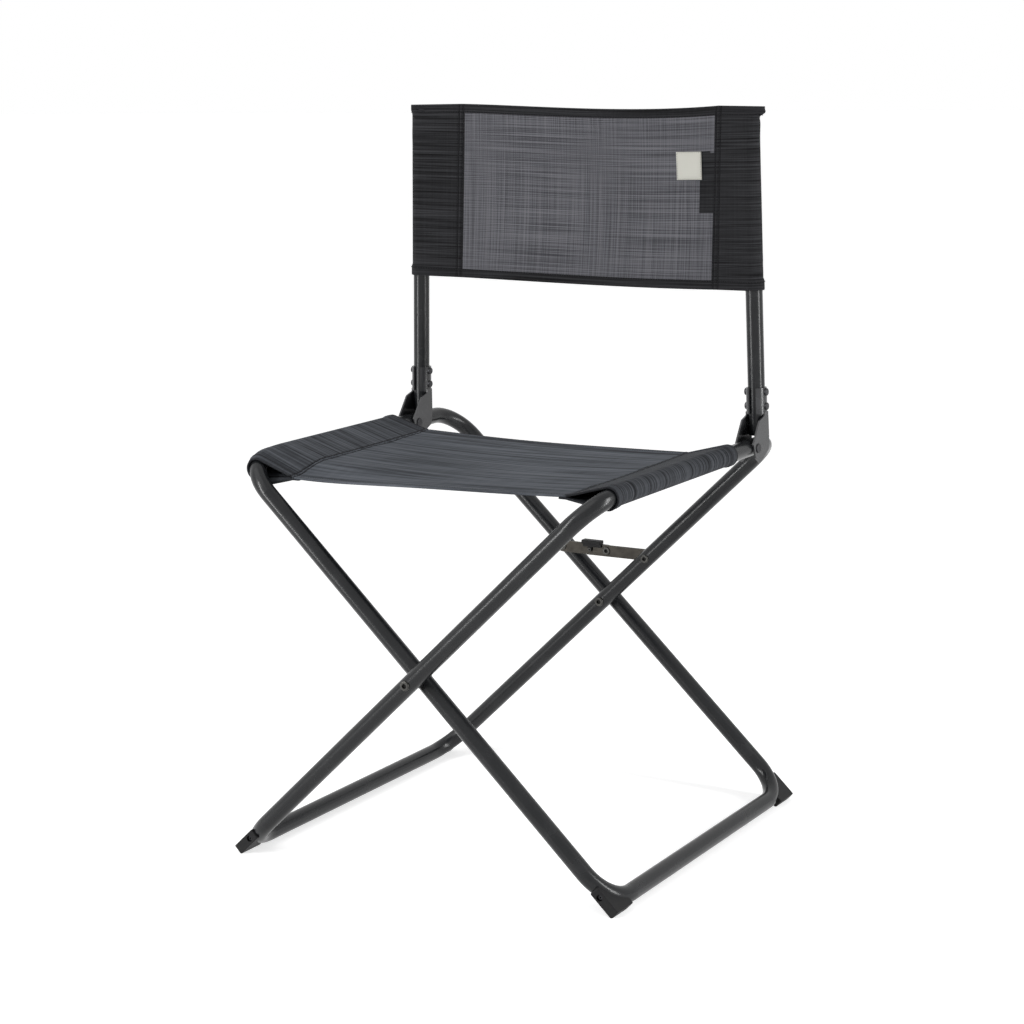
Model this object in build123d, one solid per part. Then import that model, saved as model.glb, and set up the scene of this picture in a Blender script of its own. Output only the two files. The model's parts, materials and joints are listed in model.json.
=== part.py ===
"""Folding camp chair: two crossed tube loops, a sling seat and a folding sling back.

Frame: X to the sitter's left, Y to the back, Z up, origin on the floor under the middle.
The left loop carries the left seat tube and stands on the right; the right loop mirrors it.
"""
import os
from math import atan2, cos, degrees, radians, sin

from build123d import *

# Stance
FRAME_SPAN = 450.0
LOOP_RISE = 426.0
LOOP_DEPTH = 422.0

# Tubes
TUBE_D = 19.0
TUBE_WALL = 1.5
BEND_RADIUS = 42.0

# Fits
PRESS_GAP = 0.02
RUNNING_GAP = 0.06
SKIN_GAP = 0.3

# Feet
FOOT_THICK = 12.0
FOOT_SHORT_OF_BEND = 8.0
FOOT_TOE_REACH = 11.5
FOOT_SIDE_REACH = 7.5
FOOT_FLAT_DEPTH = 1.25
FOOT_CORNER_R = 2.0
FOOT_EDGE_R = 0.8
FOOT_SCREW_INSET = 12.5
FOOT_SCREW_D = 4.0
FOOT_SCREW_HEAD_D = 7.0
FOOT_SCREW_HEAD_H = 2.2
FOOT_SCREW_SUNK = 2.2
FOOT_SCREW_REACH = 17.5

# Scissor pivots
PIVOT_D = 8.0
PIVOT_HEAD_D = 11.0
PIVOT_HEAD_H = 1.8
PIVOT_EYE_D = 4.6
SPACER_D = 16.0

# Folding brace between the rear legs
BAR_THICK = 2.0
BAR_WIDTH = 14.0
BAR_GAP = 0.4
BRACE_HALF = 62.0
BRACE_PIN_D = 6.0
BRACE_HEAD_D = 10.0
BRACE_HEAD_H = 1.4
KNEE_PIN_D = 5.0
BAR_TAIL = 25.0
TAB_NEAR = 6.0
TAB_LENGTH = 26.0
TAB_DEPTH = 9.0
TAB_THICK = 4.5
TAB_SKIRT = 2.0
TAB_SKIRT_DROP = 4.0
TAB_TONGUE = 5.6
TAB_PIN_D = 3.0
TAB_PIN_INSET = 3.0
TAB_EDGE_R = 0.6

# Back uprights and their hinge brackets
BACK_PIVOT_TO_BEND = 26.0
UPRIGHT_SETBACK = 23.0
UPRIGHT_LEAN = 1.65
UPRIGHT_START = 11.5
CAP_HEAD = 3.0
CAP_STEM = 14.0
CAP_EDGE_R = 1.2
CAP_CLEAR = 13.0
PLATE_THICK = 2.0
PLATE_GAP = 0.15
PLATE_NECK = 10.0
PLATE_FRONT = 12.0
PLATE_REAR = 29.0
PLATE_DROP = 17.0
PLATE_CORNER_R = 3.5
PLATE_RELIEF_R = 2.0
STRAP_BOTTOM = 36.0
STRAP_TOP = 65.0
STRAP_ARC = 140.0
BRACKET_RIVET_D = 5.0
BRACKET_RIVET_HEAD_D = 8.5
BRACKET_RIVET_HEAD_H = 2.0
BRACKET_RIVET_EDGE = 5.0
BRACKET_RIVET_PITCH = 16.0
BACK_PIVOT_D = 8.0
BACK_PIVOT_HEAD_D = 11.0
BACK_PIVOT_HEAD_H = 1.2

# Slings
SHEET = 1.2
SEAT_PAST_BEND = 23.0
SEAT_TO_PIVOT = 40.0
SEAT_SAG = 14.0
SEAT_SEAM = 50.0
BACK_BOTTOM = 175.0
BACK_TOP = 377.0
BACK_SEAM = 56.0
SEAM_TIP_R = 1.4
LABEL_WIDTH = 32.0
LABEL_HEIGHT = 31.0
LABEL_THICK = 0.6
LABEL_FROM_SEAM = 5.0
LABEL_FROM_TOP = 51.0

# Values worked out from the sizes above
TUBE_R = TUBE_D / 2
BORE_R = TUBE_R - TUBE_WALL
HALF_SPAN = FRAME_SPAN / 2
HALF_DEPTH = LOOP_DEPTH / 2
SLOPE = atan2(LOOP_RISE, FRAME_SPAN)
ARM = HALF_SPAN / cos(SLOPE)
FOOT_LEG = BEND_RADIUS - FOOT_SHORT_OF_BEND
FLOOR_TUBE_Z = FOOT_TOE_REACH * sin(SLOPE) + FOOT_THICK / 2 * cos(SLOPE) - FOOT_FLAT_DEPTH
SEAT_TUBE_Z = FLOOR_TUBE_Z + LOOP_RISE
PIVOT_Z = FLOOR_TUBE_Z + LOOP_RISE / 2
TUBE_GAP = 2 * BAR_THICK + 2 * SKIN_GAP + BAR_GAP
LOOP_OFFSET = TUBE_D + TUBE_GAP
BRACE_ARM = BRACE_HALF / cos(SLOPE)
BRACE_Z = PIVOT_Z + BRACE_ARM * sin(SLOPE)
REAR_GAP_Y = HALF_DEPTH - LOOP_OFFSET / 2 + TUBE_R
FRONT_BAR_Y = REAR_GAP_Y + SKIN_GAP
REAR_BAR_Y = FRONT_BAR_Y + BAR_THICK + BAR_GAP
PLATE_INNER = TUBE_R + PLATE_GAP
PLATE_OUTER = PLATE_INNER + PLATE_THICK
SLEEVE_R = TUBE_R + SKIN_GAP
UPRIGHT_END = BACK_TOP - SHEET - CAP_CLEAR - CAP_HEAD
LEFT_Y = LOOP_OFFSET / 2
RIGHT_Y = -LOOP_OFFSET / 2
BACK_PIVOT_Y = HALF_DEPTH + RIGHT_Y - BEND_RADIUS - BACK_PIVOT_TO_BEND
SEAT_FRONT_Y = -HALF_DEPTH + LEFT_Y + BEND_RADIUS - SEAT_PAST_BEND
SEAT_REAR_Y = BACK_PIVOT_Y - SEAT_TO_PIVOT
BACK_PLACE = Location((-HALF_SPAN, BACK_PIVOT_Y, SEAT_TUBE_Z), (0, UPRIGHT_LEAN, 0))


def loop_plane(loop_y):
    """Plane of a left loop: x runs down the legs, y to the back, origin at the scissor pivot."""
    return Plane(
        origin=(0, loop_y, PIVOT_Z),
        x_dir=(cos(SLOPE), 0, -sin(SLOPE)),
        z_dir=(sin(SLOPE), 0, cos(SLOPE)),
    )


def to_right(shape):
    """The right-hand twin of a left-hand shape."""
    return mirror(shape, about=Plane.YZ)


def rod(start, end, radius):
    """Solid round bar between two points."""
    axis = Vector(*end) - Vector(*start)
    return extrude(Plane(origin=start, z_dir=axis) * Circle(radius), axis.length)


def button_head(radius, height, eye_radius=0.0, sink=0.0):
    """Rivet head standing on z = 0, rounded on top, with an optional eye and a sunk underside."""
    head = Pos(0, 0, -sink) * extrude(Circle(radius), height + sink)
    head = fillet(head.edges().group_by(Axis.Z)[-1], height * 0.6)
    if eye_radius:
        head -= Pos(0, 0, height * 0.3) * extrude(Circle(eye_radius), height)
    return head


def bend(section, turn):
    """A section swept round a quarter bend; turn counts the loop's corners from rear floor."""
    start = Plane(origin=(BEND_RADIUS, 0, 0), x_dir=(0, 0, 1), z_dir=(0, 1, 0))
    quarter = sweep(start * section, path=CenterArc((0, 0, 0), BEND_RADIUS, 0, 90))
    return Rot(0, 0, 90 * turn) * quarter


def tube_pieces():
    """The four straight runs and four bends of a loop as open-ended tubes."""
    ring = Circle(TUBE_R) - Circle(BORE_R)
    run_u = (-ARM + BEND_RADIUS, ARM - BEND_RADIUS)
    run_v = HALF_DEPTH - BEND_RADIUS
    pieces = []
    for v in (-HALF_DEPTH, HALF_DEPTH):
        start = Plane(origin=(run_u[0], v, 0), x_dir=(0, 0, 1), z_dir=(1, 0, 0))
        pieces.append(extrude(start * ring, run_u[1] - run_u[0]))
    for u in (-ARM, ARM):
        start = Plane(origin=(u, -run_v, 0), x_dir=(0, 0, 1), z_dir=(0, 1, 0))
        pieces.append(extrude(start * ring, 2 * run_v))
    corners = ((run_u[1], run_v), (run_u[0], run_v), (run_u[0], -run_v), (run_u[1], -run_v))
    pieces += [Pos(u, v, 0) * bend(ring, turn) for turn, (u, v) in enumerate(corners)]
    return pieces


def joined(shapes):
    """All shapes fused into one."""
    return shapes[0].fuse(*shapes[1:])


def foot_screw_axes(end):
    """Entry point and inward direction of a foot's two screws, in loop coordinates."""
    side = (ARM - FOOT_SCREW_INSET, end * (HALF_DEPTH + FOOT_SIDE_REACH), 0)
    toe = (ARM + FOOT_TOE_REACH, end * (HALF_DEPTH - FOOT_SCREW_INSET), 0)
    return ((side, (0, -end, 0)), (toe, (-1, 0, 0)))


def frame_loop(loop_y, pivot_gap):
    """Closed bent tube loop with the holes for its pivots, brace and foot screws."""
    brace_r = BRACE_PIN_D / 2 + PRESS_GAP
    holes = [
        rod((0, -LOOP_DEPTH, 0), (0, LOOP_DEPTH, 0), PIVOT_D / 2 + pivot_gap),
        rod((-BRACE_ARM, 0, 0), (-BRACE_ARM, LOOP_DEPTH, 0), brace_r),
    ]
    for end in (-1, 1):
        for start, inward in foot_screw_axes(end):
            tip = Vector(*start) + Vector(*inward) * (FOOT_SCREW_REACH + PRESS_GAP)
            holes.append(rod(start, tip, FOOT_SCREW_D / 2 + PRESS_GAP))
    loop = joined(tube_pieces()) - holes
    loop = loop_plane(loop_y) * loop
    hinge = rod((-TUBE_D, 0, 0), (TUBE_D, 0, 0), BACK_PIVOT_D / 2 + RUNNING_GAP)
    return loop - BACK_PLACE * hinge


def corner_foot(loop_y, end):
    """Moulded corner shoe that hugs the outside of a floor bend and is flat underneath."""
    foot = Box(FOOT_LEG, FOOT_LEG, FOOT_THICK)
    foot = fillet(foot.edges().filter_by(Axis.Z), FOOT_CORNER_R)
    foot = fillet(foot.faces().sort_by(Axis.Z)[0].edges(), FOOT_EDGE_R)
    foot = fillet(foot.faces().sort_by(Axis.Z)[-1].edges(), FOOT_EDGE_R)
    middle_u = ARM + FOOT_TOE_REACH - FOOT_LEG / 2
    middle_v = HALF_DEPTH + FOOT_SIDE_REACH - FOOT_LEG / 2
    foot = Pos(middle_u, end * middle_v, 0) * foot
    centre = (ARM - BEND_RADIUS, end * (HALF_DEPTH - BEND_RADIUS))
    foot -= Pos(*centre, -FOOT_THICK) * extrude(Circle(BEND_RADIUS), 2 * FOOT_THICK)
    foot -= Pos(*centre, 0) * bend(Circle(TUBE_R + PLATE_GAP), 0 if end > 0 else 3)
    for start, inward in foot_screw_axes(end):
        along = Plane(origin=start, z_dir=inward)
        pocket = FOOT_SCREW_SUNK + FOOT_SCREW_HEAD_H
        foot -= along * extrude(Circle(FOOT_SCREW_HEAD_D / 2 + RUNNING_GAP), pocket)
        foot -= along * extrude(Circle(FOOT_SCREW_D / 2 + PRESS_GAP), FOOT_LEG)
    foot = loop_plane(loop_y) * foot
    below = Box(2 * FRAME_SPAN, 2 * LOOP_DEPTH, FOOT_LEG, align=(Align.CENTER, Align.CENTER, Align.MAX))
    return foot - below


def foot_screws(loop_y):
    """The four pan-head screws of a loop's two feet, sunk in their pockets."""
    screws = []
    for end in (-1, 1):
        for start, inward in foot_screw_axes(end):
            outward = tuple(-c for c in inward)
            seat = Vector(*start) + Vector(*inward) * (FOOT_SCREW_SUNK + FOOT_SCREW_HEAD_H)
            tip = Vector(*start) + Vector(*inward) * FOOT_SCREW_REACH
            head = button_head(FOOT_SCREW_HEAD_D / 2, FOOT_SCREW_HEAD_H, FOOT_SCREW_D / 4)
            head = Plane(origin=seat, z_dir=outward) * head
            screws.append(head + rod(seat, tip, FOOT_SCREW_D / 2))
    return Compound(children=[loop_plane(loop_y) * screw for screw in screws])


def leg_bar(loop_y, end, radius):
    """Solid bar along one slanting leg of a left loop."""
    v = end * HALF_DEPTH
    return loop_plane(loop_y) * rod((-ARM, v, 0), (ARM, v, 0), radius)


def scissor_rivet(end):
    """Rivet that joins two legs where they cross: pressed in the right leg, running in the left."""
    front_y = end * HALF_DEPTH + RIGHT_Y - TUBE_R
    back_y = end * HALF_DEPTH + LEFT_Y + TUBE_R + SKIN_GAP
    shank = rod((0, front_y - PIVOT_HEAD_H * 0.3, PIVOT_Z), (0, back_y, PIVOT_Z), PIVOT_D / 2)
    head = button_head(PIVOT_HEAD_D / 2, PIVOT_HEAD_H, PIVOT_EYE_D / 2, sink=TUBE_WALL)
    front = Plane(origin=(0, front_y, PIVOT_Z), z_dir=(0, -1, 0)) * head
    front -= to_right(leg_bar(RIGHT_Y, end, TUBE_R))
    back = button_head(PIVOT_HEAD_D / 2, PIVOT_HEAD_H, PIVOT_EYE_D / 2)
    back = Plane(origin=(0, back_y, PIVOT_Z), z_dir=(0, 1, 0)) * back
    return joined([shank, front, back])


def scissor_spacer(end):
    """Plastic ring between two crossing legs, saddled on the right leg."""
    right_axis_y = end * HALF_DEPTH + RIGHT_Y
    left_face_y = end * HALF_DEPTH + LEFT_Y - TUBE_R - SKIN_GAP
    spacer = rod((0, right_axis_y, PIVOT_Z), (0, left_face_y, PIVOT_Z), SPACER_D / 2)
    spacer -= to_right(leg_bar(RIGHT_Y, end, TUBE_R + PRESS_GAP))
    bore = rod((0, right_axis_y, PIVOT_Z), (0, left_face_y, PIVOT_Z), PIVOT_D / 2 + PRESS_GAP)
    return spacer - bore


def brace_bar(face_y, left_x, right_x, holes):
    """Flat bar with round ends, standing behind face_y, with round holes as (x, diameter)."""
    middle = (left_x + right_x) / 2
    outline = SlotCenterToCenter(right_x - left_x, BAR_WIDTH)
    plane = Plane(origin=(middle, face_y, BRACE_Z), x_dir=(1, 0, 0), z_dir=(0, -1, 0))
    bar = extrude(plane * outline, -BAR_THICK)
    for x, diameter in holes:
        bar -= rod((x, face_y - 1, BRACE_Z), (x, face_y + BAR_THICK + 1, BRACE_Z), diameter / 2)
    return bar


def brace_rivet(bar_y, leg_y, outward):
    """Rivet that hangs a brace bar on a rear leg; outward is the Y direction of the leg's side."""
    x = BRACE_HALF * -outward
    leg_face = leg_y + outward * TUBE_R
    shank = rod((x, leg_face, BRACE_Z), (x, bar_y, BRACE_Z), BRACE_PIN_D / 2)
    head = button_head(BRACE_HEAD_D / 2, BRACE_HEAD_H, BRACE_PIN_D / 3, sink=TUBE_WALL)
    head = Plane(origin=(x, leg_face, BRACE_Z), z_dir=(0, outward, 0)) * head
    if outward < 0:
        head -= to_right(leg_bar(RIGHT_Y, 1, TUBE_R))
    else:
        head -= leg_bar(LEFT_Y, 1, TUBE_R)
    back = button_head(BRACE_HEAD_D / 2, BRACE_HEAD_H)
    back = Plane(origin=(x, bar_y, BRACE_Z), z_dir=(0, -outward, 0)) * back
    return joined([shank, head, back])


def knee_rivet(face_y, outward):
    """One half of the rivet at the brace's knee, held by one bar; outward is its head's side."""
    inner_y = face_y - outward * (BAR_THICK + BAR_GAP / 4)
    shank = rod((0, face_y, BRACE_Z), (0, inner_y, BRACE_Z), KNEE_PIN_D / 2)
    head = button_head(BRACE_HEAD_D / 2, BRACE_HEAD_H, KNEE_PIN_D / 3)
    return joined([shank, Plane(origin=(0, face_y, BRACE_Z), z_dir=(0, outward, 0)) * head])


def release_tab():
    """Finger tab on the front bar's tail; its flange rests on the rear bar and stops the knee."""
    top_z = BRACE_Z + BAR_WIDTH / 2 + SKIN_GAP
    middle_x = -TAB_NEAR - TAB_LENGTH / 2
    rear_y = REAR_BAR_Y + BAR_THICK
    plate = Box(TAB_LENGTH, TAB_DEPTH, TAB_THICK, align=(Align.CENTER, Align.MAX, Align.MIN))
    plate = fillet(plate.edges(), TAB_EDGE_R)
    plate = Pos(middle_x, rear_y, top_z) * plate
    skirt_y = FRONT_BAR_Y - PRESS_GAP
    skirt = Box(
        TAB_LENGTH - 2 * TAB_EDGE_R,
        TAB_SKIRT,
        TAB_SKIRT_DROP + TAB_THICK / 2,
        align=(Align.CENTER, Align.MAX, Align.MIN),
    )
    skirt = Pos(middle_x, skirt_y, top_z - TAB_SKIRT_DROP) * skirt
    pin_x = -BAR_TAIL + TAB_PIN_INSET
    tongue = Box(TAB_TONGUE, TAB_SKIRT, top_z - BRACE_Z, align=(Align.CENTER, Align.MAX, Align.MIN))
    tongue = Pos(pin_x, skirt_y, BRACE_Z) * tongue
    tongue += rod((pin_x, skirt_y - TAB_SKIRT, BRACE_Z), (pin_x, skirt_y, BRACE_Z), TAB_TONGUE / 2)
    tab = plate + skirt + tongue
    hole = rod((pin_x, 0, BRACE_Z), (pin_x, rear_y, BRACE_Z), TAB_PIN_D / 2 + PRESS_GAP)
    return tab - hole


def tab_rivet():
    """Small rivet through the tab's skirt and the front bar."""
    pin_x = -BAR_TAIL + TAB_PIN_INSET
    front_y = FRONT_BAR_Y - PRESS_GAP - TAB_SKIRT
    back_y = FRONT_BAR_Y + BAR_THICK
    shank = rod((pin_x, front_y, BRACE_Z), (pin_x, back_y, BRACE_Z), TAB_PIN_D / 2)
    head = button_head(TAB_PIN_D * 0.8, TAB_PIN_D * 0.25)
    return shank + Plane(origin=(pin_x, front_y, BRACE_Z), z_dir=(0, -1, 0)) * head


def bracket_rivet_heights():
    """Heights of the two rivets through an upright, above the back pivot."""
    upper = STRAP_TOP - BRACKET_RIVET_EDGE
    return (upper - BRACKET_RIVET_PITCH, upper)


def upright():
    """Round back tube, drilled across for the two bracket rivets."""
    ring = Circle(TUBE_R) - Circle(BORE_R)
    tube = Pos(0, UPRIGHT_SETBACK, UPRIGHT_START) * extrude(ring, UPRIGHT_END - UPRIGHT_START)
    for z in bracket_rivet_heights():
        start = (-TUBE_D, UPRIGHT_SETBACK, z)
        tube -= rod(start, (TUBE_D, UPRIGHT_SETBACK, z), BRACKET_RIVET_D / 2 + PRESS_GAP)
    return BACK_PLACE * tube


def upright_cap():
    """Plastic plug that closes the upright inside the back's sleeve."""
    head = fillet(extrude(Circle(TUBE_R), CAP_HEAD).edges().group_by(Axis.Z)[-1], CAP_EDGE_R)
    stem = Pos(0, 0, -CAP_STEM) * extrude(Circle(BORE_R - PRESS_GAP), CAP_STEM)
    return BACK_PLACE * (Pos(0, UPRIGHT_SETBACK, UPRIGHT_END) * (head + stem))


def bracket_leaf():
    """Outline of a bracket's flat part in the hinge plane: y to the back, z up, pivot at 0, 0."""
    neck_rear = UPRIGHT_SETBACK + PLATE_NECK / 2
    neck_front = UPRIGHT_SETBACK - PLATE_NECK / 2
    boss = BACK_PIVOT_HEAD_D / 2
    return [
        (neck_rear, STRAP_BOTTOM + PLATE_THICK),
        (neck_front, STRAP_BOTTOM + PLATE_THICK),
        (neck_front, STRAP_BOTTOM - PLATE_RELIEF_R),
        (boss, STRAP_BOTTOM - 3 * PLATE_RELIEF_R),
        (-PLATE_FRONT, boss),
        (boss - PLATE_FRONT, -PLATE_DROP * 0.6),
        (boss * 0.6, -PLATE_DROP),
        (PLATE_REAR - boss * 0.4, -boss),
        (PLATE_REAR, TUBE_R),
    ]


def bracket_plate(side):
    """Stamped bracket half: a strap curved round the upright above a flat leaf at the pivot."""
    plane = Plane(origin=(PLATE_INNER, 0, 0), x_dir=(0, 1, 0), z_dir=(1, 0, 0))
    leaf = make_face(Polyline(*bracket_leaf(), close=True))
    leaf = fillet(leaf.vertices().sort_by(Axis.Y)[:6], PLATE_CORNER_R)
    plate = extrude(plane * leaf, PLATE_THICK)
    ring = Circle(PLATE_OUTER) - Circle(PLATE_INNER)
    strap = Pos(0, UPRIGHT_SETBACK, STRAP_BOTTOM) * extrude(ring, STRAP_TOP - STRAP_BOTTOM)
    reach = 2 * PLATE_OUTER
    edge = PLATE_OUTER * cos(radians(STRAP_ARC / 2))
    keep = Box(reach, 2 * reach, 2 * STRAP_TOP, align=(Align.MIN, Align.CENTER, Align.CENTER))
    strap &= Pos(edge, UPRIGHT_SETBACK, STRAP_BOTTOM) * keep
    plate += strap
    for z in bracket_rivet_heights():
        end = (reach, UPRIGHT_SETBACK, z)
        plate -= rod((0, UPRIGHT_SETBACK, z), end, BRACKET_RIVET_D / 2 + PRESS_GAP)
    plate -= rod((0, 0, 0), (reach, 0, 0), BACK_PIVOT_D / 2 + PRESS_GAP)
    if side == "outer":
        plate = to_right(plate)
    return BACK_PLACE * plate


def bracket_rivets():
    """The two rivets that clamp both bracket straps to the upright."""
    drum = Pos(0, UPRIGHT_SETBACK, 0) * extrude(Circle(PLATE_OUTER), 2 * STRAP_TOP)
    rivets = []
    for z in bracket_rivet_heights():
        head = button_head(BRACKET_RIVET_HEAD_D / 2, BRACKET_RIVET_HEAD_H, sink=PLATE_THICK / 2)
        head = Plane(origin=(PLATE_OUTER, UPRIGHT_SETBACK, z), z_dir=(1, 0, 0)) * head - drum
        start = (-PLATE_OUTER, UPRIGHT_SETBACK, z)
        shank = rod(start, (PLATE_OUTER, UPRIGHT_SETBACK, z), BRACKET_RIVET_D / 2)
        rivets.append(BACK_PLACE * joined([shank, head, to_right(head)]))
    return rivets


def back_pivot():
    """Rivet that hinges a bracket on its seat tube, pressed in both plates."""
    shank = rod((-PLATE_OUTER, 0, 0), (PLATE_OUTER, 0, 0), BACK_PIVOT_D / 2)
    head = button_head(BACK_PIVOT_HEAD_D / 2, BACK_PIVOT_HEAD_H)
    head = Plane(origin=(PLATE_OUTER, 0, 0), z_dir=(1, 0, 0)) * head
    return BACK_PLACE * joined([shank, head, to_right(head)])


def teardrop(centre, tip, radius, tip_radius):
    """Face bounded by a large circle, a small one at the tip and the two lines that touch both."""
    reach = Vector(*tip) - Vector(*centre)
    turn = degrees(atan2(reach.Y, reach.X))
    lift = (radius - tip_radius) / reach.length
    across = (1 - lift**2) ** 0.5
    sides = [
        (radius * lift, radius * across),
        (reach.length + tip_radius * lift, tip_radius * across),
        (reach.length + tip_radius * lift, -tip_radius * across),
        (radius * lift, -radius * across),
    ]
    body = make_face(Polyline(*sides, close=True))
    face = Circle(radius) + body + Pos(reach.length, 0) * Circle(tip_radius)
    return Location((centre[0], centre[1], 0), (0, 0, turn)) * face


def sleeve(centre, tip):
    """Outer and inner faces of a sewn sleeve round a tube, drawn in to its seam at the tip."""
    reach = Vector(*tip) - Vector(*centre)
    stop = Vector(*centre) + reach * (1 - 4 * SHEET / reach.length)
    outer = teardrop(centre, tip, SLEEVE_R + SHEET, SEAM_TIP_R)
    inner = teardrop(centre, (stop.X, stop.Y), SLEEVE_R, SEAM_TIP_R / 4)
    return outer, inner


def seat_height(x):
    """Height of the sagging seat sheet's middle at x."""
    return SEAT_TUBE_Z - SEAT_SAG * (1 - (x / HALF_SPAN) ** 2)


def seat_sling():
    """Taut sheet with a sewn sleeve on each seat tube, sagging a little between them."""
    seam_x = HALF_SPAN - SEAT_SEAM
    seam = (seam_x, seat_height(seam_x))
    outer, inner = sleeve((HALF_SPAN, SEAT_TUBE_Z), seam)
    half = SHEET / 2
    low = seat_height(0)
    top = ThreePointArc((-seam[0], seam[1] + half), (0, low + half), (seam[0], seam[1] + half))
    bottom = ThreePointArc((seam[0], seam[1] - half), (0, low - half), (-seam[0], seam[1] - half))
    sides = [Line(top @ 1, bottom @ 0), Line(bottom @ 1, top @ 0)]
    section = make_face([top, sides[0], bottom, sides[1]]) + outer + mirror(outer, about=Plane.YZ)
    section = section - inner - mirror(inner, about=Plane.YZ)
    plane = Plane(origin=(0, SEAT_REAR_Y, 0), x_dir=(1, 0, 0), z_dir=(0, -1, 0))
    sling = extrude(plane * section, SEAT_REAR_Y - SEAT_FRONT_Y)
    return sling - bend_relief(LEFT_Y) - to_right(bend_relief(RIGHT_Y))


def bend_relief(loop_y):
    """Room that a front seat bend takes where the seat sleeve passes over its start."""
    centre = (-ARM + BEND_RADIUS, -HALF_DEPTH + BEND_RADIUS, 0)
    return loop_plane(loop_y) * (Pos(*centre) * bend(Circle(SLEEVE_R + SKIN_GAP), 2))


def back_sling():
    """Flat sheet with a sewn sleeve, closed at the top, round each upright."""
    outer, inner = sleeve((0, UPRIGHT_SETBACK), (BACK_SEAM, UPRIGHT_SETBACK))
    height = BACK_TOP - BACK_BOTTOM
    pocket = Pos(0, 0, BACK_BOTTOM) * extrude(outer, height)
    pocket -= Pos(0, 0, BACK_BOTTOM) * extrude(inner, height - SHEET)
    pocket = BACK_PLACE * pocket
    low = BACK_PLACE * Pos(BACK_SEAM, UPRIGHT_SETBACK, BACK_BOTTOM)
    high = BACK_PLACE * Pos(BACK_SEAM, UPRIGHT_SETBACK, BACK_TOP)
    corners = [(low.position.X, low.position.Z), (-low.position.X, low.position.Z)]
    corners += [(-high.position.X, high.position.Z), (high.position.X, high.position.Z)]
    middle_y = BACK_PIVOT_Y + UPRIGHT_SETBACK
    plane = Plane(origin=(0, middle_y, 0), x_dir=(1, 0, 0), z_dir=(0, -1, 0))
    panel = extrude(plane * make_face(Polyline(*corners, close=True)), SHEET / 2, both=True)
    return joined([panel, pocket, to_right(pocket)])


def back_label():
    """Bare square label sewn on the front of the back sheet beside the right seam."""
    seam = BACK_PLACE * Pos(BACK_SEAM, UPRIGHT_SETBACK, BACK_TOP - LABEL_FROM_TOP - LABEL_HEIGHT)
    front_y = BACK_PIVOT_Y + UPRIGHT_SETBACK - SHEET / 2 - SKIN_GAP
    label = Box(LABEL_WIDTH, LABEL_THICK, LABEL_HEIGHT, align=(Align.MAX, Align.MAX, Align.MIN))
    return Pos(-seam.position.X - LABEL_FROM_SEAM, front_y, seam.position.Z) * label


def twins(name, left_shape):
    """A left-hand shape and its mirrored twin under left and right names."""
    return {f"left_{name}": left_shape, f"right_{name}": to_right(left_shape)}


def all_parts():
    """Every piece of the chair under its own name."""
    parts = {
        "left_frame_loop": frame_loop(LEFT_Y, RUNNING_GAP),
        "right_frame_loop": to_right(frame_loop(RIGHT_Y, PRESS_GAP)),
        "right_foot_screws": foot_screws(LEFT_Y),
        "left_foot_screws": to_right(foot_screws(RIGHT_Y)),
        "seat_sling": seat_sling(),
        "back_sling": back_sling(),
        "back_label": back_label(),
    }
    for end, place in ((-1, "front"), (1, "rear")):
        parts[f"right_{place}_foot"] = corner_foot(LEFT_Y, end)
        parts[f"left_{place}_foot"] = to_right(corner_foot(RIGHT_Y, end))
        parts[f"{place}_scissor_rivet"] = scissor_rivet(end)
        parts[f"{place}_scissor_spacer"] = scissor_spacer(end)
    parts |= twins("upright", upright())
    parts |= twins("upright_cap", upright_cap())
    parts |= twins("bracket_inner", bracket_plate("inner"))
    parts |= twins("bracket_outer", bracket_plate("outer"))
    parts |= twins("back_pivot", back_pivot())
    rivets = bracket_rivets()
    parts["left_bracket_rivets"] = Compound(children=rivets)
    parts["right_bracket_rivets"] = Compound(children=[to_right(rivet) for rivet in rivets])
    parts |= brace_parts()
    return parts


def brace_parts():
    """The folding brace: two bars, their rivets, the split knee rivet and the release tab."""
    pivot_hole = BRACE_PIN_D + 2 * RUNNING_GAP
    knee_hole = KNEE_PIN_D + 2 * PRESS_GAP
    tab_hole = TAB_PIN_D + 2 * PRESS_GAP
    front_holes = [(BRACE_HALF, pivot_hole), (0, knee_hole), (-BAR_TAIL + TAB_PIN_INSET, tab_hole)]
    rear_holes = [(-BRACE_HALF, pivot_hole), (0, knee_hole)]
    rear_face = REAR_BAR_Y + BAR_THICK
    return {
        "brace_bar_right": brace_bar(FRONT_BAR_Y, -BAR_TAIL, BRACE_HALF, front_holes),
        "brace_bar_left": brace_bar(REAR_BAR_Y, -BRACE_HALF, 0, rear_holes),
        "brace_rivet_right": brace_rivet(FRONT_BAR_Y + BAR_THICK, HALF_DEPTH + RIGHT_Y, -1),
        "brace_rivet_left": brace_rivet(REAR_BAR_Y, HALF_DEPTH + LEFT_Y, 1),
        "knee_rivet_front": knee_rivet(FRONT_BAR_Y, -1),
        "knee_rivet_rear": knee_rivet(rear_face, 1),
        "release_tab": release_tab(),
        "tab_rivet": tab_rivet(),
    }


os.makedirs("parts", exist_ok=True)
for node, shape in all_parts().items():
    export_step(shape, f"parts/{node}.step")
print(f"seat tube z {SEAT_TUBE_Z:.2f}, scissor pivot z {PIVOT_Z:.2f}, leg slope {degrees(SLOPE):.2f}")
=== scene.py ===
"""Folding camp chair: finishes, two sewn slings with their stitching and label, and the stage."""
import json
import math

import bpy
import numpy as np
from mathutils import Matrix, Vector


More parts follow.
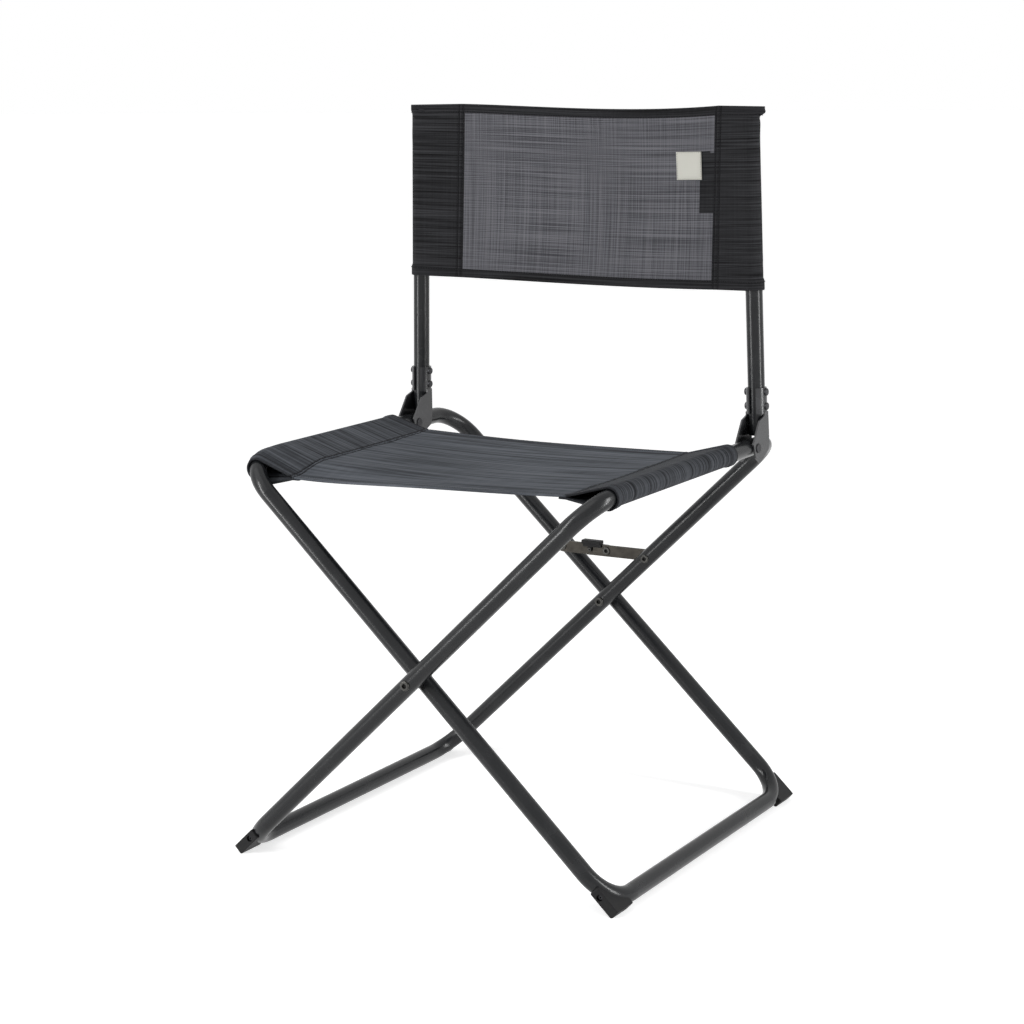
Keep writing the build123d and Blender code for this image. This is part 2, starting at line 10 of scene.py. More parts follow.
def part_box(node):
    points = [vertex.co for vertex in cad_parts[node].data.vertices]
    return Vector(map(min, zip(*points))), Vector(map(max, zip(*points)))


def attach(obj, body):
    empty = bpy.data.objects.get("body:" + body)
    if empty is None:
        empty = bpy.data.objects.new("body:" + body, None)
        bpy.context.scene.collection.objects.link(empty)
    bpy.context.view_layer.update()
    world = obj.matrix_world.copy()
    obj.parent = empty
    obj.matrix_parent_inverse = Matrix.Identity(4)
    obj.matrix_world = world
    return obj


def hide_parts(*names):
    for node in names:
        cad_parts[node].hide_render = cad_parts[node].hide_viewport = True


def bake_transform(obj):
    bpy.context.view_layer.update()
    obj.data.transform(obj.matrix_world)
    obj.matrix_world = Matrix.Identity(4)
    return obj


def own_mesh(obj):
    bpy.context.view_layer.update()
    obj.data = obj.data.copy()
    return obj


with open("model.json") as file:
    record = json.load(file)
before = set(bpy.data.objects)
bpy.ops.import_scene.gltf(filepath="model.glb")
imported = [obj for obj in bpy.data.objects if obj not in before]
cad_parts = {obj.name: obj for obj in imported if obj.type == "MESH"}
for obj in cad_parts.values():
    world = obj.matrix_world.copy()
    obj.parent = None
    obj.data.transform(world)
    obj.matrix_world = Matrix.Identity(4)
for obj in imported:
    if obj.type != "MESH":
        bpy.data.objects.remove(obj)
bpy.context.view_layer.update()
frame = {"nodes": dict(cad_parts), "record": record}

bl_info = {
    "name": "Folding camp chair",
    "version": (1, 0, 0),
    "blender": (4, 5, 0),
    "location": "View3D > Sidebar > Chair",
    "description": "Finishes, sewn slings, stitching and stage for a folding camp chair",
    "category": "Object",
}

# Places read from the frame, in metres
JOINTS = {joint["name"]: joint for joint in frame["record"]["behaviour"]["joints"]}
SCISSOR = Vector(JOINTS["frame_fold"]["pos_m"])
BACK_PIVOT = Vector(JOINTS["left_back_fold"]["pos_m"])
BACK_HINGE = Vector(JOINTS["left_back_fold"]["axis"])
SEAT_X = -BACK_PIVOT.x
SEAT_Z = BACK_PIVOT.z
LEG_SLOPE = math.atan2(SEAT_Z - SCISSOR.z, SEAT_X)
LEAN = math.atan2(-BACK_HINGE.z, BACK_HINGE.x)
UPRIGHT_LOW, UPRIGHT_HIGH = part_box("left_upright")
TUBE_R = (UPRIGHT_HIGH.y - UPRIGHT_LOW.y) / 2
UPRIGHT_Y = (UPRIGHT_LOW.y + UPRIGHT_HIGH.y) / 2
PLUG_TOP = (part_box("left_upright_cap")[1].z - SEAT_Z) / math.cos(LEAN)
SEAT_FRONT, SEAT_REAR = (corner.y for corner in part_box("seat_sling"))
BACK_BOTTOM, BACK_TOP = ((corner.z - SEAT_Z) / math.cos(LEAN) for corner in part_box("back_sling"))
LEFT_BEND, RIGHT_BEND = (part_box(f"{side}_frame_loop")[0].y + TUBE_R for side in ("left", "right"))
LABEL_LOW, LABEL_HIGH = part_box("back_label")
# Tape behind the panel: its left edge, width and height
TAPE_LEFT, TAPE_WIDE, TAPE_TALL = LABEL_HIGH.x - 0.003, 0.024, 0.068
# Shares of their width that the folded back's sleeves keep, and its panel at the least
SLEEVE_KEPT, PANEL_KEPT = 0.88, 0.02


def colour(name, description, value):
    """A colour property with its default."""
    return bpy.props.FloatVectorProperty(
        name=name, description=description, subtype="COLOR", size=4, min=0, max=1, default=(*value, 1)
    )


def length(name, description, value):
    """A length property in metres with its default."""
    return bpy.props.FloatProperty(
        name=name, description=description, subtype="DISTANCE", precision=5, default=value
    )


def angle(name, description, degrees):
    """An angle property with its default."""
    return bpy.props.FloatProperty(
        name=name, description=description, subtype="ANGLE", default=math.radians(degrees)
    )


def share(name, description, value):
    """A plain number property with its default."""
    return bpy.props.FloatProperty(name=name, description=description, subtype="FACTOR", min=0, default=value)


class ChairFinishes(bpy.types.PropertyGroup):
    """Colours of the chair's finishes."""

    coat: colour("Coat", "Powder coat on the tubes", (0.0089, 0.0096, 0.0107))
    coat_worn: colour("Worn coat", "Powder coat where it is rubbed", (0.0164, 0.0171, 0.0185))
    bracket: colour("Bracket coat", "Thin coat on the stamped brackets", (0.0275, 0.0280, 0.0300))
    plastic: colour("Plastic", "Moulded feet, tab, spacers and plugs", (0.0082, 0.0082, 0.0089))
    plastic_dusty: colour("Dusty plastic", "Plastic where floor dust has settled", (0.0164, 0.0162, 0.0151))
    plating: colour("Rivet plating", "Dull plating on the frame rivets", (0.050, 0.049, 0.046))
    blackening: colour("Blackened steel", "Bracket rivets, pivots and foot screws", (0.035, 0.035, 0.038))
    brace: colour("Brace plating", "Bronze grey plating on the brace bars", (0.034, 0.031, 0.0265))
    seat_dark: colour("Seat yarn", "Dark yarn of the seat", (0.034, 0.0375, 0.044))
    seat_light: colour("Seat slub", "Pale slubs of the seat", (0.122, 0.132, 0.150))
    sleeve_dark: colour("Sleeve yarn", "Dark yarn of the seat's sleeves", (0.0125, 0.0138, 0.0163))
    sleeve_light: colour("Sleeve slub", "Pale slubs of the seat's sleeves", (0.106, 0.113, 0.127))
    tape: colour("Tape", "Tape behind the back panel", (0.022, 0.022, 0.0235))
    panel_dark: colour("Panel yarn", "Dark yarn of the back panel", (0.0415, 0.0415, 0.0475))
    panel_light: colour("Panel slub", "Pale slubs of the back panel", (0.154, 0.154, 0.170))
    mesh_dark: colour("Back yarn", "Dark yarn of the back's sleeves", (0.0016, 0.0016, 0.0020))
    mesh_light: colour("Back slub", "Pale slubs of the back's sleeves", (0.034, 0.0343, 0.0375))
    # Also the tone of the painted shade in the sewn grooves of the cloth.
    thread: colour("Thread", "Sewing thread", (0.0082, 0.0082, 0.0096))
    label: colour("Label", "Bare woven label", (0.56, 0.555, 0.502))
    label_thread: colour("Label thread", "Thread round the label", (0.45, 0.445, 0.397))


class ChairSlings(bpy.types.PropertyGroup):
    """Sizes of the sewn slings."""

    cloth: length("Cloth", "Thickness of one layer of the seat cloth", 0.0011)
    slack: length("Slack", "Gap between a sleeve and its tube", 0.0006)
    left_slack: length("Left slack", "Further gap in the left seat sleeve", 0.0019)
    bend_radius: length("Bend radius", "Radius of the frame's bends", 0.042)
    seat_seam: length("Seat seam", "From the seat tube's axis to its seam", 0.050)
    seat_skew: length("Seat skew", "How far the right end sits forward of the left one", 0.014)
    sag_front: length("Front sag", "Sag of the seat's front edge", 0.0068)
    sag_rear: length("Rear sag", "Sag of the seat's rear edge", 0.0035)
    left_mouth: length("Left mouth", "How far the left sleeve's mouth reaches forward", 0.0085)
    corner_dip: length("Corner dip", "How far the front left corner is pulled down", 0.0105)
    hem: length("Hem", "Width of the hems", 0.0085)
    back_hem: length("Back hem", "Width of the back's hems", 0.0100)
    left_seam: length("Left back seam", "From the left upright's axis to its seam", 0.0553)
    left_seam_lean: length("Left seam lean", "How much wider the left sleeve is at its top", 0.0030)
    right_seam: length("Right back seam", "From the right upright's axis to its seam", 0.0423)
    right_seam_lean: length("Right seam lean", "How much narrower the right sleeve is at its top", 0.0106)
    belly: length("Belly", "How far the back's panel bulges to the rear", 0.0055)
    back_dip: length("Back dip", "Sag of the back's top edge", 0.0046)
    low_dip: length("Low dip", "Sag of the back's bottom edge", 0.0016)
    ear_left: length("Left ear", "How far the left top corner stands out", 0.0045)
    ear_right: length("Right ear", "How far the right top corner stands out", 0.0078)
    allowance: length("Allowance", "Cloth behind the panel beside its seams", 0.0050)
    seam_rows: length("Seam rows", "Distance between the two rows of a seam", 0.0060)
    stitch_pitch: length("Stitch pitch", "From one stitch to the next", 0.0032)
    stitch_length: length("Stitch length", "Length of one stitch", 0.0023)
    thread_radius: length("Thread radius", "Radius of the sewing thread", 0.0005)
    weave: length("Seat weave", "Distance between two yarns of the seat", 0.00125)
    back_weave: length("Back weave", "Distance between two yarns of the back", 0.0012)
    left_rise: length("Left rise", "How far the back's left end is pushed up", 0.0030)
    right_drop: length("Right drop", "How far the back's right top corner sits lower", 0.0012)


class ChairStage(bpy.types.PropertyGroup):
    """Camera, lamps and floor."""

    azimuth: angle("Azimuth", "Camera's turn round the chair", 31.18)
    elevation: angle("Elevation", "Camera's height above level", 11.27)
    roll: angle("Roll", "Camera's tilt about its own axis", -1.05)
    distance: length("Distance", "From the aim point to the camera", 2.55983)
    aim_side: length("Aim side", "Aim point to the right of the chair's middle", -0.0047)
    aim_height: length("Aim height", "Aim point above the floor", 0.36822)
    lens: bpy.props.FloatProperty(name="Lens", description="Focal length in millimetres", default=80.28)
    floor: colour("Floor", "Pale floor", (0.82, 0.82, 0.82))
    floor_lift: share("Floor lift", "Glow that brings the bare floor up to white", 0.58)
    sky: share("Sky", "Strength of the even light all round", 0.29)
    softbox: colour("Softbox", "Colour of the lamps", (1, 1, 1))


# Meshes


def grid_faces(rows, columns):
    """Quads of a grid whose second index runs fastest."""
    index = np.arange(rows * columns).reshape(rows, columns)
    quads = np.stack((index[:-1, :-1], index[:-1, 1:], index[1:, 1:], index[1:, :-1]), -1)
    return quads.reshape(-1, 4)


def mesh_object(name, points, faces, coordinates):
    """A smooth mesh object with texture coordinates in metres."""
    mesh = bpy.data.meshes.new(name)
    mesh.from_pydata(np.asarray(points, float).tolist(), [], [list(map(int, face)) for face in faces])
    layer = mesh.uv_layers.new(name="cloth")
    corners = np.empty(len(mesh.loops), int)
    mesh.loops.foreach_get("vertex_index", corners)
    layer.data.foreach_set("uv", np.asarray(coordinates, float)[corners].ravel())
    mesh.polygons.foreach_set("use_smooth", np.ones(len(mesh.polygons), bool))
    mesh.update()
    thing = bpy.data.objects.new(name, mesh)
    bpy.context.scene.collection.objects.link(thing)
    return thing


def grid_object(name, grid, coordinates):
    """A mesh object of a grid of points."""
    return mesh_object(name, grid.reshape(-1, 3), grid_faces(*grid.shape[:2]), coordinates.reshape(-1, 2))


def smooth(low, high, value):
    """Smooth step from 0 at low to 1 at high."""
    step = np.clip((np.asarray(value, float) - low) / (high - low), 0, 1)
    return step * step * (3 - 2 * step)


def bump(middle, width, value):
    """Rounded bump of height 1."""
    return np.exp(-(((np.asarray(value, float) - middle) / width) ** 2))


def reach_of(path):
    """Distance along a path at each of its points."""
    steps = np.linalg.norm(np.diff(path, axis=0), axis=1)
    return np.concatenate(([0], np.cumsum(steps)))


def between(places, reach, values):
    """Rows of values, known at the distances reach, at the given places."""
    return np.stack([np.interp(places, reach, column) for column in values.T], 1)


def along(path, places):
    """Points of a path at the given distances."""
    return between(places, reach_of(path), path)


def convex(points):
    """Convex outline of points in a plane, counter-clockwise."""
    ordered = sorted(map(tuple, points))

    def half(run):
        chain = []
        for spot in run:
            while len(chain) > 1:
                (ax, ay), (bx, by) = chain[-2:]
                if (bx - ax) * (spot[1] - ay) - (by - ay) * (spot[0] - ax) > 0:
                    break
                chain.pop()
            chain.append(spot)
        return chain[:-1]

    return np.array(half(ordered) + half(ordered[::-1]))


def ellipse(middle, wide, deep, count=160):
    """Points round an ellipse."""
    turn = np.linspace(0, 2 * math.pi, count, endpoint=False)
    return np.stack((middle[0] + wide * np.cos(turn), middle[1] + deep * np.sin(turn)), 1)


def sleeve(rounds, seam, gap, shares, tuck):
    """Section of a sleeve: its tuck under the seam, round the tube on the left, and back to the seam."""
    under = (seam[0], seam[1] - gap)
    outline = convex(np.concatenate((*rounds, [seam, under])))
    start = int(np.argmin(np.linalg.norm(outline - np.array(seam), axis=1)))
    path = np.roll(outline, -start, axis=0)[::-1]
    if np.linalg.norm(path[0] - np.array(under)) > 1e-7:
        path = np.concatenate(([under], path))
    inner = np.stack((seam[0] + tuck, np.full(len(tuck), under[1])), 1)
    return np.concatenate((inner, along(path, shares * reach_of(path)[-1])))


def normals_of(grid):
    """Unit normals of a grid of points."""
    across, up = np.gradient(grid, axis=1), np.gradient(grid, axis=0)
    normals = np.cross(across, up)
    return normals / np.maximum(np.linalg.norm(normals, axis=2, keepdims=True), 1e-12)


def spaced(total, edge, fine, coarse):
    """Places from 0 to total, finely spaced within edge of both ends."""
    ends = np.linspace(0, edge, max(2, round(edge / fine) + 1))
    middle = np.linspace(edge, total - edge, max(2, round((total - 2 * edge) / coarse) + 1))
    return np.concatenate((ends[:-1], middle, total - ends[::-1][1:]))


def strand(grid, places, value, axis):
    """Line across a grid where the given places reach value, with its normals."""
    points = grid if axis == 0 else grid.transpose(1, 0, 2)
    normals = normals_of(grid)
    normals = normals if axis == 0 else normals.transpose(1, 0, 2)
    upper = int(np.clip(np.searchsorted(places, value), 1, len(places) - 1))
    part = (value - places[upper - 1]) / (places[upper] - places[upper - 1])
    line = points[upper - 1] * (1 - part) + points[upper] * part
    up = normals[upper - 1] * (1 - part) + normals[upper] * part
    return line, up


def unit(vector):
    """A vector of length 1."""
    return vector / max(np.linalg.norm(vector), 1e-12)


def stitches(lines, pitch, reach, radius, lift):
    """Points, faces and coordinates of short thread bows along lines on the cloth."""
    half = ((0.5, 0.05, -0.9), (0.38, 0.75, 0.0), (0.15, 1, 0.55))
    profile = [(-place, wide, high) for place, wide, high in half] + list(half[::-1])
    sides = 6
    turn = np.linspace(0, 2 * math.pi, sides, endpoint=False)
    rings = np.arange(len(profile) * sides).reshape(-1, sides)
    after = np.roll(rings, -1, axis=1)
    quads = np.stack((rings[:-1], after[:-1], after[1:], rings[1:]), -1).reshape(-1, 4)
    bow = [*quads.tolist(), rings[0, ::-1].tolist(), rings[-1].tolist()]
    points, faces, coordinates = [], [], []
    for line, up in lines:
        distance = reach_of(line)
        count = int(distance[-1] / pitch)
        places = (np.arange(count) + 0.5) * distance[-1] / max(1, count)
        ahead = along(line, places + reach / 4) - along(line, places - reach / 4)
        rises = between(places, distance, up)
        for centre, direction, rise in zip(along(line, places), ahead, rises):
            direction = unit(direction)
            side = unit(np.cross(rise, direction))
            rise = np.cross(direction, side)
            faces += [[len(points) + corner for corner in face] for face in bow]
            for place, wide, high in profile:
                middle = centre + direction * place * reach + rise * (lift + high * radius)
                for corner in turn:
                    round_way = side * math.cos(corner) + rise * math.sin(corner)
                    points.append(middle + round_way * wide * radius)
                    coordinates.append((place * reach, corner * radius))
    return points, faces, coordinates


# Materials

SPECULAR = "Specular IOR Level"
# Roughness of every noise, and the scales of the fixed ones, per metre
NOISE_ROUGHNESS = 0.55
RUB_SCALE, STAIN_SCALE, SPECK_SCALE = 34.0, 90.0, 240.0
# Parts of a noise that count as worn, stained, dusty or slubbed, and its usual spread
WORN, STAINED, DUSTY, SLUBBED, USUAL = (0.5, 0.8), (0.35, 0.7), (0.42, 0.66), (0.34, 0.66), (0.3, 0.7)
# Roughness of the glossiest and the dullest patches
COAT_GLOSS, METAL_GLOSS, PLASTIC_GLOSS = (0.22, 0.29), (0.3, 0.46), (0.46, 0.6)
# Heights between which the floor's dust fades, in metres, and the stretch of drawn lines
DUST_HEIGHTS, DRAWN = (0.002, 0.022), (1, 12, 30)
# Slubs along a metre of yarn, waves of a thread's twist, and the width of a rivet's rim as a share of its box
SLUB_SCALE, TWIST_SCALE, RIM_WIDE = 6.0, 9000.0, 0.09


def feed(tree, value, socket):
    """Links an output to a socket, or sets the socket to a value."""
    if isinstance(value, bpy.types.NodeSocket):
        tree.links.new(value, socket)
    else:
        socket.default_value = value


def add(tree, kind, values=None, **settings):
    """A node with its settings and what its inputs are fed."""
    node = tree.nodes.new(kind)
    for name, value in settings.items():
        setattr(node, name, value)
    for name, value in (values or {}).items():
        feed(tree, value, node.inputs[name])
    return node


def math_node(tree, operation, first, second=0.0):
    """A math node between two outputs or numbers; returns its output."""
    return add(tree, "ShaderNodeMath", {0: first, 1: second}, operation=operation).outputs[0]


def split(tree, vector):
    """Outputs with the parts of a vector."""
    return add(tree, "ShaderNodeSeparateXYZ", {0: vector}).outputs


def noise(tree, vector, scale, detail):
    """Noise on a vector; returns the value."""
    return add(tree, "ShaderNodeTexNoise", {
        "Vector": vector, "Scale": scale, "Detail": detail, "Roughness": NOISE_ROUGHNESS,
    }).outputs[0]


def spread(tree, value, found, wanted=(0.0, 1.0)):
    """Maps a value from the range found to the range wanted, clamped; returns the result."""
    return add(tree, "ShaderNodeMapRange", {
        "Value": value, "From Min": found[0], "From Max": found[1], "To Min": wanted[0], "To Max": wanted[1],
    }).outputs[0]


def new_group(name, numbers, outputs):
    """A shader group with its two end nodes, or without them if it is there already."""
    if name in bpy.data.node_groups:
        return bpy.data.node_groups[name], None, None
    tree = bpy.data.node_groups.new(name, "ShaderNodeTree")
    tree.interface.new_socket("Vector", in_out="INPUT", socket_type="NodeSocketVector")
    for label, value in numbers.items():
        socket = tree.interface.new_socket(label, in_out="INPUT", socket_type="NodeSocketFloat")
        socket.default_value = value
    for label in outputs:
        tree.interface.new_socket(label, in_out="OUTPUT", socket_type="NodeSocketFloat")
    return tree, add(tree, "NodeGroupInput"), add(tree, "NodeGroupOutput")


def give(tree, sink, **values):
    """Links values to a group's outputs."""
    for name, value in values.items():
        tree.links.new(value, sink.inputs[name])


def coat_group():
    """Orange peel of a sprayed coat with soft rubbed patches."""
    tree, source, sink = new_group("sprayed_coat", {"Grain": 900.0}, ("Height", "Wear", "Gloss"))
    if source:
        peel = noise(tree, source.outputs["Vector"], source.outputs["Grain"], 1.0)
        rub = noise(tree, source.outputs["Vector"], RUB_SCALE, 6.0)
        gloss = spread(tree, rub, USUAL, COAT_GLOSS)
        give(tree, sink, Height=peel, Wear=spread(tree, rub, WORN), Gloss=gloss)
    return tree


def brushed_group():
    """Fine drawn lines and stains of plated metal."""
    tree, source, sink = new_group("brushed_metal", {"Lines": 60.0}, ("Height", "Stain", "Gloss"))
    if source:
        vector = source.outputs["Vector"]
        drawn = add(tree, "ShaderNodeVectorMath", {0: vector, 1: DRAWN}, operation="MULTIPLY").outputs[0]
        lines = noise(tree, drawn, source.outputs["Lines"], 3.0)
        stain = spread(tree, noise(tree, vector, STAIN_SCALE, 4.0), STAINED)
        give(tree, sink, Height=lines, Stain=stain, Gloss=spread(tree, lines, USUAL, METAL_GLOSS))
    return tree


def eye_group():
    """Rolled rim round the hollow of a rivet head, from its own box; the hollow inside it gets painted shade.
    """
    tree, source, sink = new_group("rivet_eye", {"Hollow": 0.2}, ("Rim",))
    if source:
        parts = split(tree, source.outputs["Vector"])
        sides = [math_node(tree, "SUBTRACT", parts[axis], 0.5) for axis in ("X", "Z")]
        squares = [math_node(tree, "MULTIPLY", side, side) for side in sides]
        away = math_node(tree, "SQRT", math_node(tree, "ADD", *squares))
        rim = math_node(tree, "DIVIDE", math_node(tree, "SUBTRACT", away, source.outputs["Hollow"]), RIM_WIDE)
        give(tree, sink, Rim=spread(tree, rim, (0.0, 1.0)))
    return tree


def moulded_group():
    """Spark-eroded grain of moulded plastic, with dust towards the floor."""
    tree, source, sink = new_group("moulded_grain", {"Grain": 1100.0}, ("Height", "Dust", "Gloss"))
    if source:
        vector = source.outputs["Vector"]
        cells = add(tree, "ShaderNodeTexVoronoi", {"Vector": vector, "Scale": source.outputs["Grain"]})
        low = spread(tree, split(tree, vector)["Z"], DUST_HEIGHTS, (1.0, 0.0))
        specks = noise(tree, vector, SPECK_SCALE, 5.0)
        dust = math_node(tree, "MULTIPLY", low, spread(tree, specks, DUSTY))
        gloss = spread(tree, specks, USUAL, PLASTIC_GLOSS)
        give(tree, sink, Height=cells.outputs["Distance"], Dust=dust, Gloss=gloss)
    return tree


def weave_group():
    """Plain weave with thick and thin yarns both ways: its tone and relief."""
    numbers = {"Pitch": 0.00125, "Streak": 500.0, "Cross": 0.5}
    tree, source, sink = new_group("slub_weave", numbers, ("Tone", "Height"))
    if source:
        parts = split(tree, source.outputs["Vector"])
        slubs, humps = [], []
        for long_way, short_way in (("X", "Y"), ("Y", "X")):
            stretched = add(tree, "ShaderNodeCombineXYZ", {
                0: math_node(tree, "MULTIPLY", parts[long_way], SLUB_SCALE),
                1: math_node(tree, "MULTIPLY", parts[short_way], source.outputs["Streak"]),
            })
            slubs.append(noise(tree, stretched.outputs[0], 1.0, 5.0))
            turns = math_node(tree, "DIVIDE", parts[long_way], source.outputs["Pitch"])
            humps.append(math_node(tree, "SINE", math_node(tree, "MULTIPLY", turns, math.pi)))
        warp = math_node(tree, "SUBTRACT", slubs[1], 0.5)
        warp = math_node(tree, "MULTIPLY", warp, source.outputs["Cross"])
        tone = spread(tree, math_node(tree, "ADD", slubs[0], warp), SLUBBED)
        give(tree, sink, Tone=tone, Height=spread(tree, math_node(tree, "MULTIPLY", *humps), (-1, 1)))
    return tree


def thread_group():
    """Twist of a sewing thread."""
    tree, source, sink = new_group("thread_twist", {"Twist": 1.0}, ("Height", "Tone"))
    if source:
        parts = split(tree, source.outputs["Vector"])
        slant = math_node(tree, "MULTIPLY", parts["Y"], source.outputs["Twist"])
        slant = math_node(tree, "ADD", parts["X"], slant)
        wave = math_node(tree, "SINE", math_node(tree, "MULTIPLY", slant, TWIST_SCALE))
        give(tree, sink, Height=spread(tree, wave, (-1, 1)), Tone=spread(tree, wave, (-1, 1), (0.25, 1.0)))
    return tree


def shader_of(material):
    """The Principled shader of a material."""
    return material.node_tree.nodes["Principled BSDF"]


def new_material(name, finish):
    """A node material with the fixed values of its shader."""
    material = bpy.data.materials.new(name)
    material.use_nodes = True
    for socket, value in finish.items():
        shader_of(material).inputs[socket].default_value = value
    return material


def use_group(tree, group, coordinates, values):
    """A group node fed with texture coordinates."""
    vector = add(tree, "ShaderNodeTexCoord").outputs[coordinates]
    return add(tree, "ShaderNodeGroup", {"Vector": vector, **values}, node_tree=group)


def two_tones(material, mask, first, second):
    """Feeds a material's base colour with a mix of two tones by a mask."""
    tree = material.node_tree
    mix = add(tree, "ShaderNodeMix", {"Factor": mask}, data_type="RGBA")
    colours = [socket for socket in mix.inputs if socket.type == "RGBA"]
    for socket, tone in zip(colours, (first, second)):
        feed(tree, tone, socket)
    mixed = next(socket for socket in mix.outputs if socket.type == "RGBA")
    tree.links.new(mixed, shader_of(material).inputs["Base Color"])


def darken(material, mask, tone):
    """Turns a material's base colour to a tone where a mask is high."""
    base = shader_of(material).inputs["Base Color"]
    two_tones(material, mask, base.links[0].from_socket, tone)


def surface(name, group, coordinates, values, tones, mask, depth, finish):
    """A material whose tone, gloss and relief come from a group; depth is a bump's strength and distance."""
    material = new_material(name, finish)
    tree, shader = material.node_tree, shader_of(material)
    node = use_group(tree, group, coordinates, values)
    two_tones(material, node.outputs[mask], *tones)
    strength, distance = depth
    relief = {"Strength": strength, "Distance": distance, "Height": node.outputs["Height"]}
    tree.links.new(add(tree, "ShaderNodeBump", relief).outputs[0], shader.inputs["Normal"])
    if "Gloss" in node.outputs:
        tree.links.new(node.outputs["Gloss"], shader.inputs["Roughness"])
    return material


def mark_groove_shade(thing, values):
    """Stores how much painted shade each point of a cloth gets where it lies in a sewn groove."""
    layer = thing.data.attributes.new("groove_shade", "FLOAT", "POINT")
    layer.data.foreach_set("value", np.clip(np.asarray(values, float).ravel(), 0, 1))


def cloth_material(name, pitch, streak, cross, tones, groove_shade_tone):
    """Slub cloth with painted shade in its sewn grooves."""
    values = {"Pitch": pitch, "Streak": streak, "Cross": cross}
    depth, finish = (0.4, 0.0003), {"Roughness": 0.75, SPECULAR: 0.09}
    material = surface(name, weave_group(), "UV", values, tones, "Tone", depth, finish)
    # Painted shade: the base colour turns to the groove shade tone where the cloth lies in a sewn groove.
    groove_shade = add(material.node_tree, "ShaderNodeAttribute", attribute_name="groove_shade")
    darken(material, groove_shade.outputs["Fac"], groove_shade_tone)
    return material


def thread_material(name, tone):
    """Sewing thread of one colour."""
    tones = (shaded(tone, 0.5), tone)
    depth, finish = (0.3, 0.0001), {"Roughness": 0.6, SPECULAR: 0.2}
    return surface(name, thread_group(), "UV", {"Twist": 1.0}, tones, "Tone", depth, finish)


def dress(names, material):
    """Puts one material on the named CAD nodes."""
    for name in names:
        node = frame["nodes"][name]
        node.data.materials.clear()
        node.data.materials.append(material)


def nodes_with(*words):
    """CAD nodes whose names hold one of the words."""
    return [name for name in frame["nodes"] if any(word in name for word in words)]


def shaded(tone, factor):
    """A colour made lighter or darker."""
    return (*(min(1, part * factor) for part in tone[:3]), 1)


class CHAIR_OT_coat_frame(bpy.types.Operator):
    """Sprays the tubes and the stamped brackets"""

    bl_idname = "chair.coat_frame"
    bl_label = "Coat frame"

    def execute(self, context):
        finishes = context.scene.chair_finishes
        tubes = [f"{side}_{part}" for part in ("frame_loop", "upright") for side in ("left", "right")]
        plates = nodes_with("bracket_inner", "bracket_outer")
        tube_tones = (finishes.coat, finishes.coat_worn)
        plate_tones = (finishes.bracket, shaded(finishes.bracket, 1.8))
        for name, nodes, tones, grain, depth, specular in (
            ("frame_coat", tubes, tube_tones, 1000.0, (0.06, 0.0002), 0.29),
            ("bracket_coat", plates, plate_tones, 1500.0, (0.1, 0.00015), 0.4),
        ):
            values, finish = {"Grain": grain}, {SPECULAR: specular}
            dress(nodes, surface(name, coat_group(), "Object", values, tones, "Wear", depth, finish))
        return {"FINISHED"}


class CHAIR_OT_plate_fasteners(bpy.types.Operator):
    """Plates the rivets, screws and brace bars"""

    bl_idname = "chair.plate_fasteners"
    bl_label = "Plate fasteners"

    def execute(self, context):
        finishes = context.scene.chair_finishes
        rivets = ("scissor_rivet", "brace_rivet", "knee_rivet", "tab_rivet")
        depth, finish = (0.08, 0.0001), {"Metallic": 0.85}
        for name, tone, lines, words in (
            ("rivet_plating", finishes.plating, 120.0, rivets),
            ("blackened_steel", finishes.blackening, 160.0, ("bracket_rivets", "back_pivot", "foot_screws")),
            ("brace_plating", finishes.brace, 50.0, ("brace_bar",)),
        ):
            tones = (shaded(tone, 1.15), shaded(tone, 0.7))
            values = {"Lines": lines}
            material = surface(name, brushed_group(), "Object", values, tones, "Stain", depth, finish)
            # Painted shade in the hollow middle of the frame rivets' heads.
            if words == rivets:
                paint_rivet_hollow_shade(material, tones[0])
            dress(nodes_with(*words), material)
        return {"FINISHED"}


def paint_rivet_hollow_shade(material, tone):
    """Paints shade into the hollow middle of the rivet heads."""
    tree = material.node_tree
    eye = use_group(tree, eye_group(), "Generated", {"Hollow": 0.21})
    darken(material, math_node(tree, "SUBTRACT", 1.0, eye.outputs["Rim"]), shaded(tone, 0.05))


class CHAIR_OT_mould_plastics(bpy.types.Operator):
    """Gives the feet, tab, spacers and plugs their moulded grain"""

    bl_idname = "chair.mould_plastics"
    bl_label = "Mould plastics"

    def execute(self, context):
        finishes = context.scene.chair_finishes
        depth, finish = (0.1, 0.0002), {SPECULAR: 0.17}
        for name, grain, words, factor in (
            ("foot_plastic", 900.0, ("_foot",), 1.0),
            ("fitting_plastic", 1300.0, ("release_tab", "spacer", "upright_cap"), 0.85),
        ):
            tones = (shaded(finishes.plastic, factor), finishes.plastic_dusty)
            values = {"Grain": grain}
            material = surface(name, moulded_group(), "Object", values, tones, "Dust", depth, finish)
            dress([node for node in nodes_with(*words) if "screws" not in node], material)
        return {"FINISHED"}


# Seat

# Edge, fine step and coarse step of the seat's columns, as shares, and of its rows
SEAT_COLUMNS, SEAT_ROWS = (0.025, 0.0022, 0.0095), (0.014, 0.0008, 0.0021)
# Cloth tucked under a seat seam, and the width over which a hem ends
SEAT_TUCK, HEM_END = 0.008, 0.001
# Share of the length over which the left mouth opens, and the most of a bend that a sleeve covers
MOUTH_SHARE, MOST_BEND = 0.2, 0.95
# Further sag in the middle, and the width and share of the length of the pulled corner
MIDDLE_SAG, CORNER_WIDE, CORNER_SHARE = 0.003, 0.15, 0.24
# A seam's ridge, and the depth and width of the grooves of its two rows of stitches
RIDGE_TALL, GROOVE_DEEP, GROOVE_WIDE = 0.0009, 0.0006, 0.0008
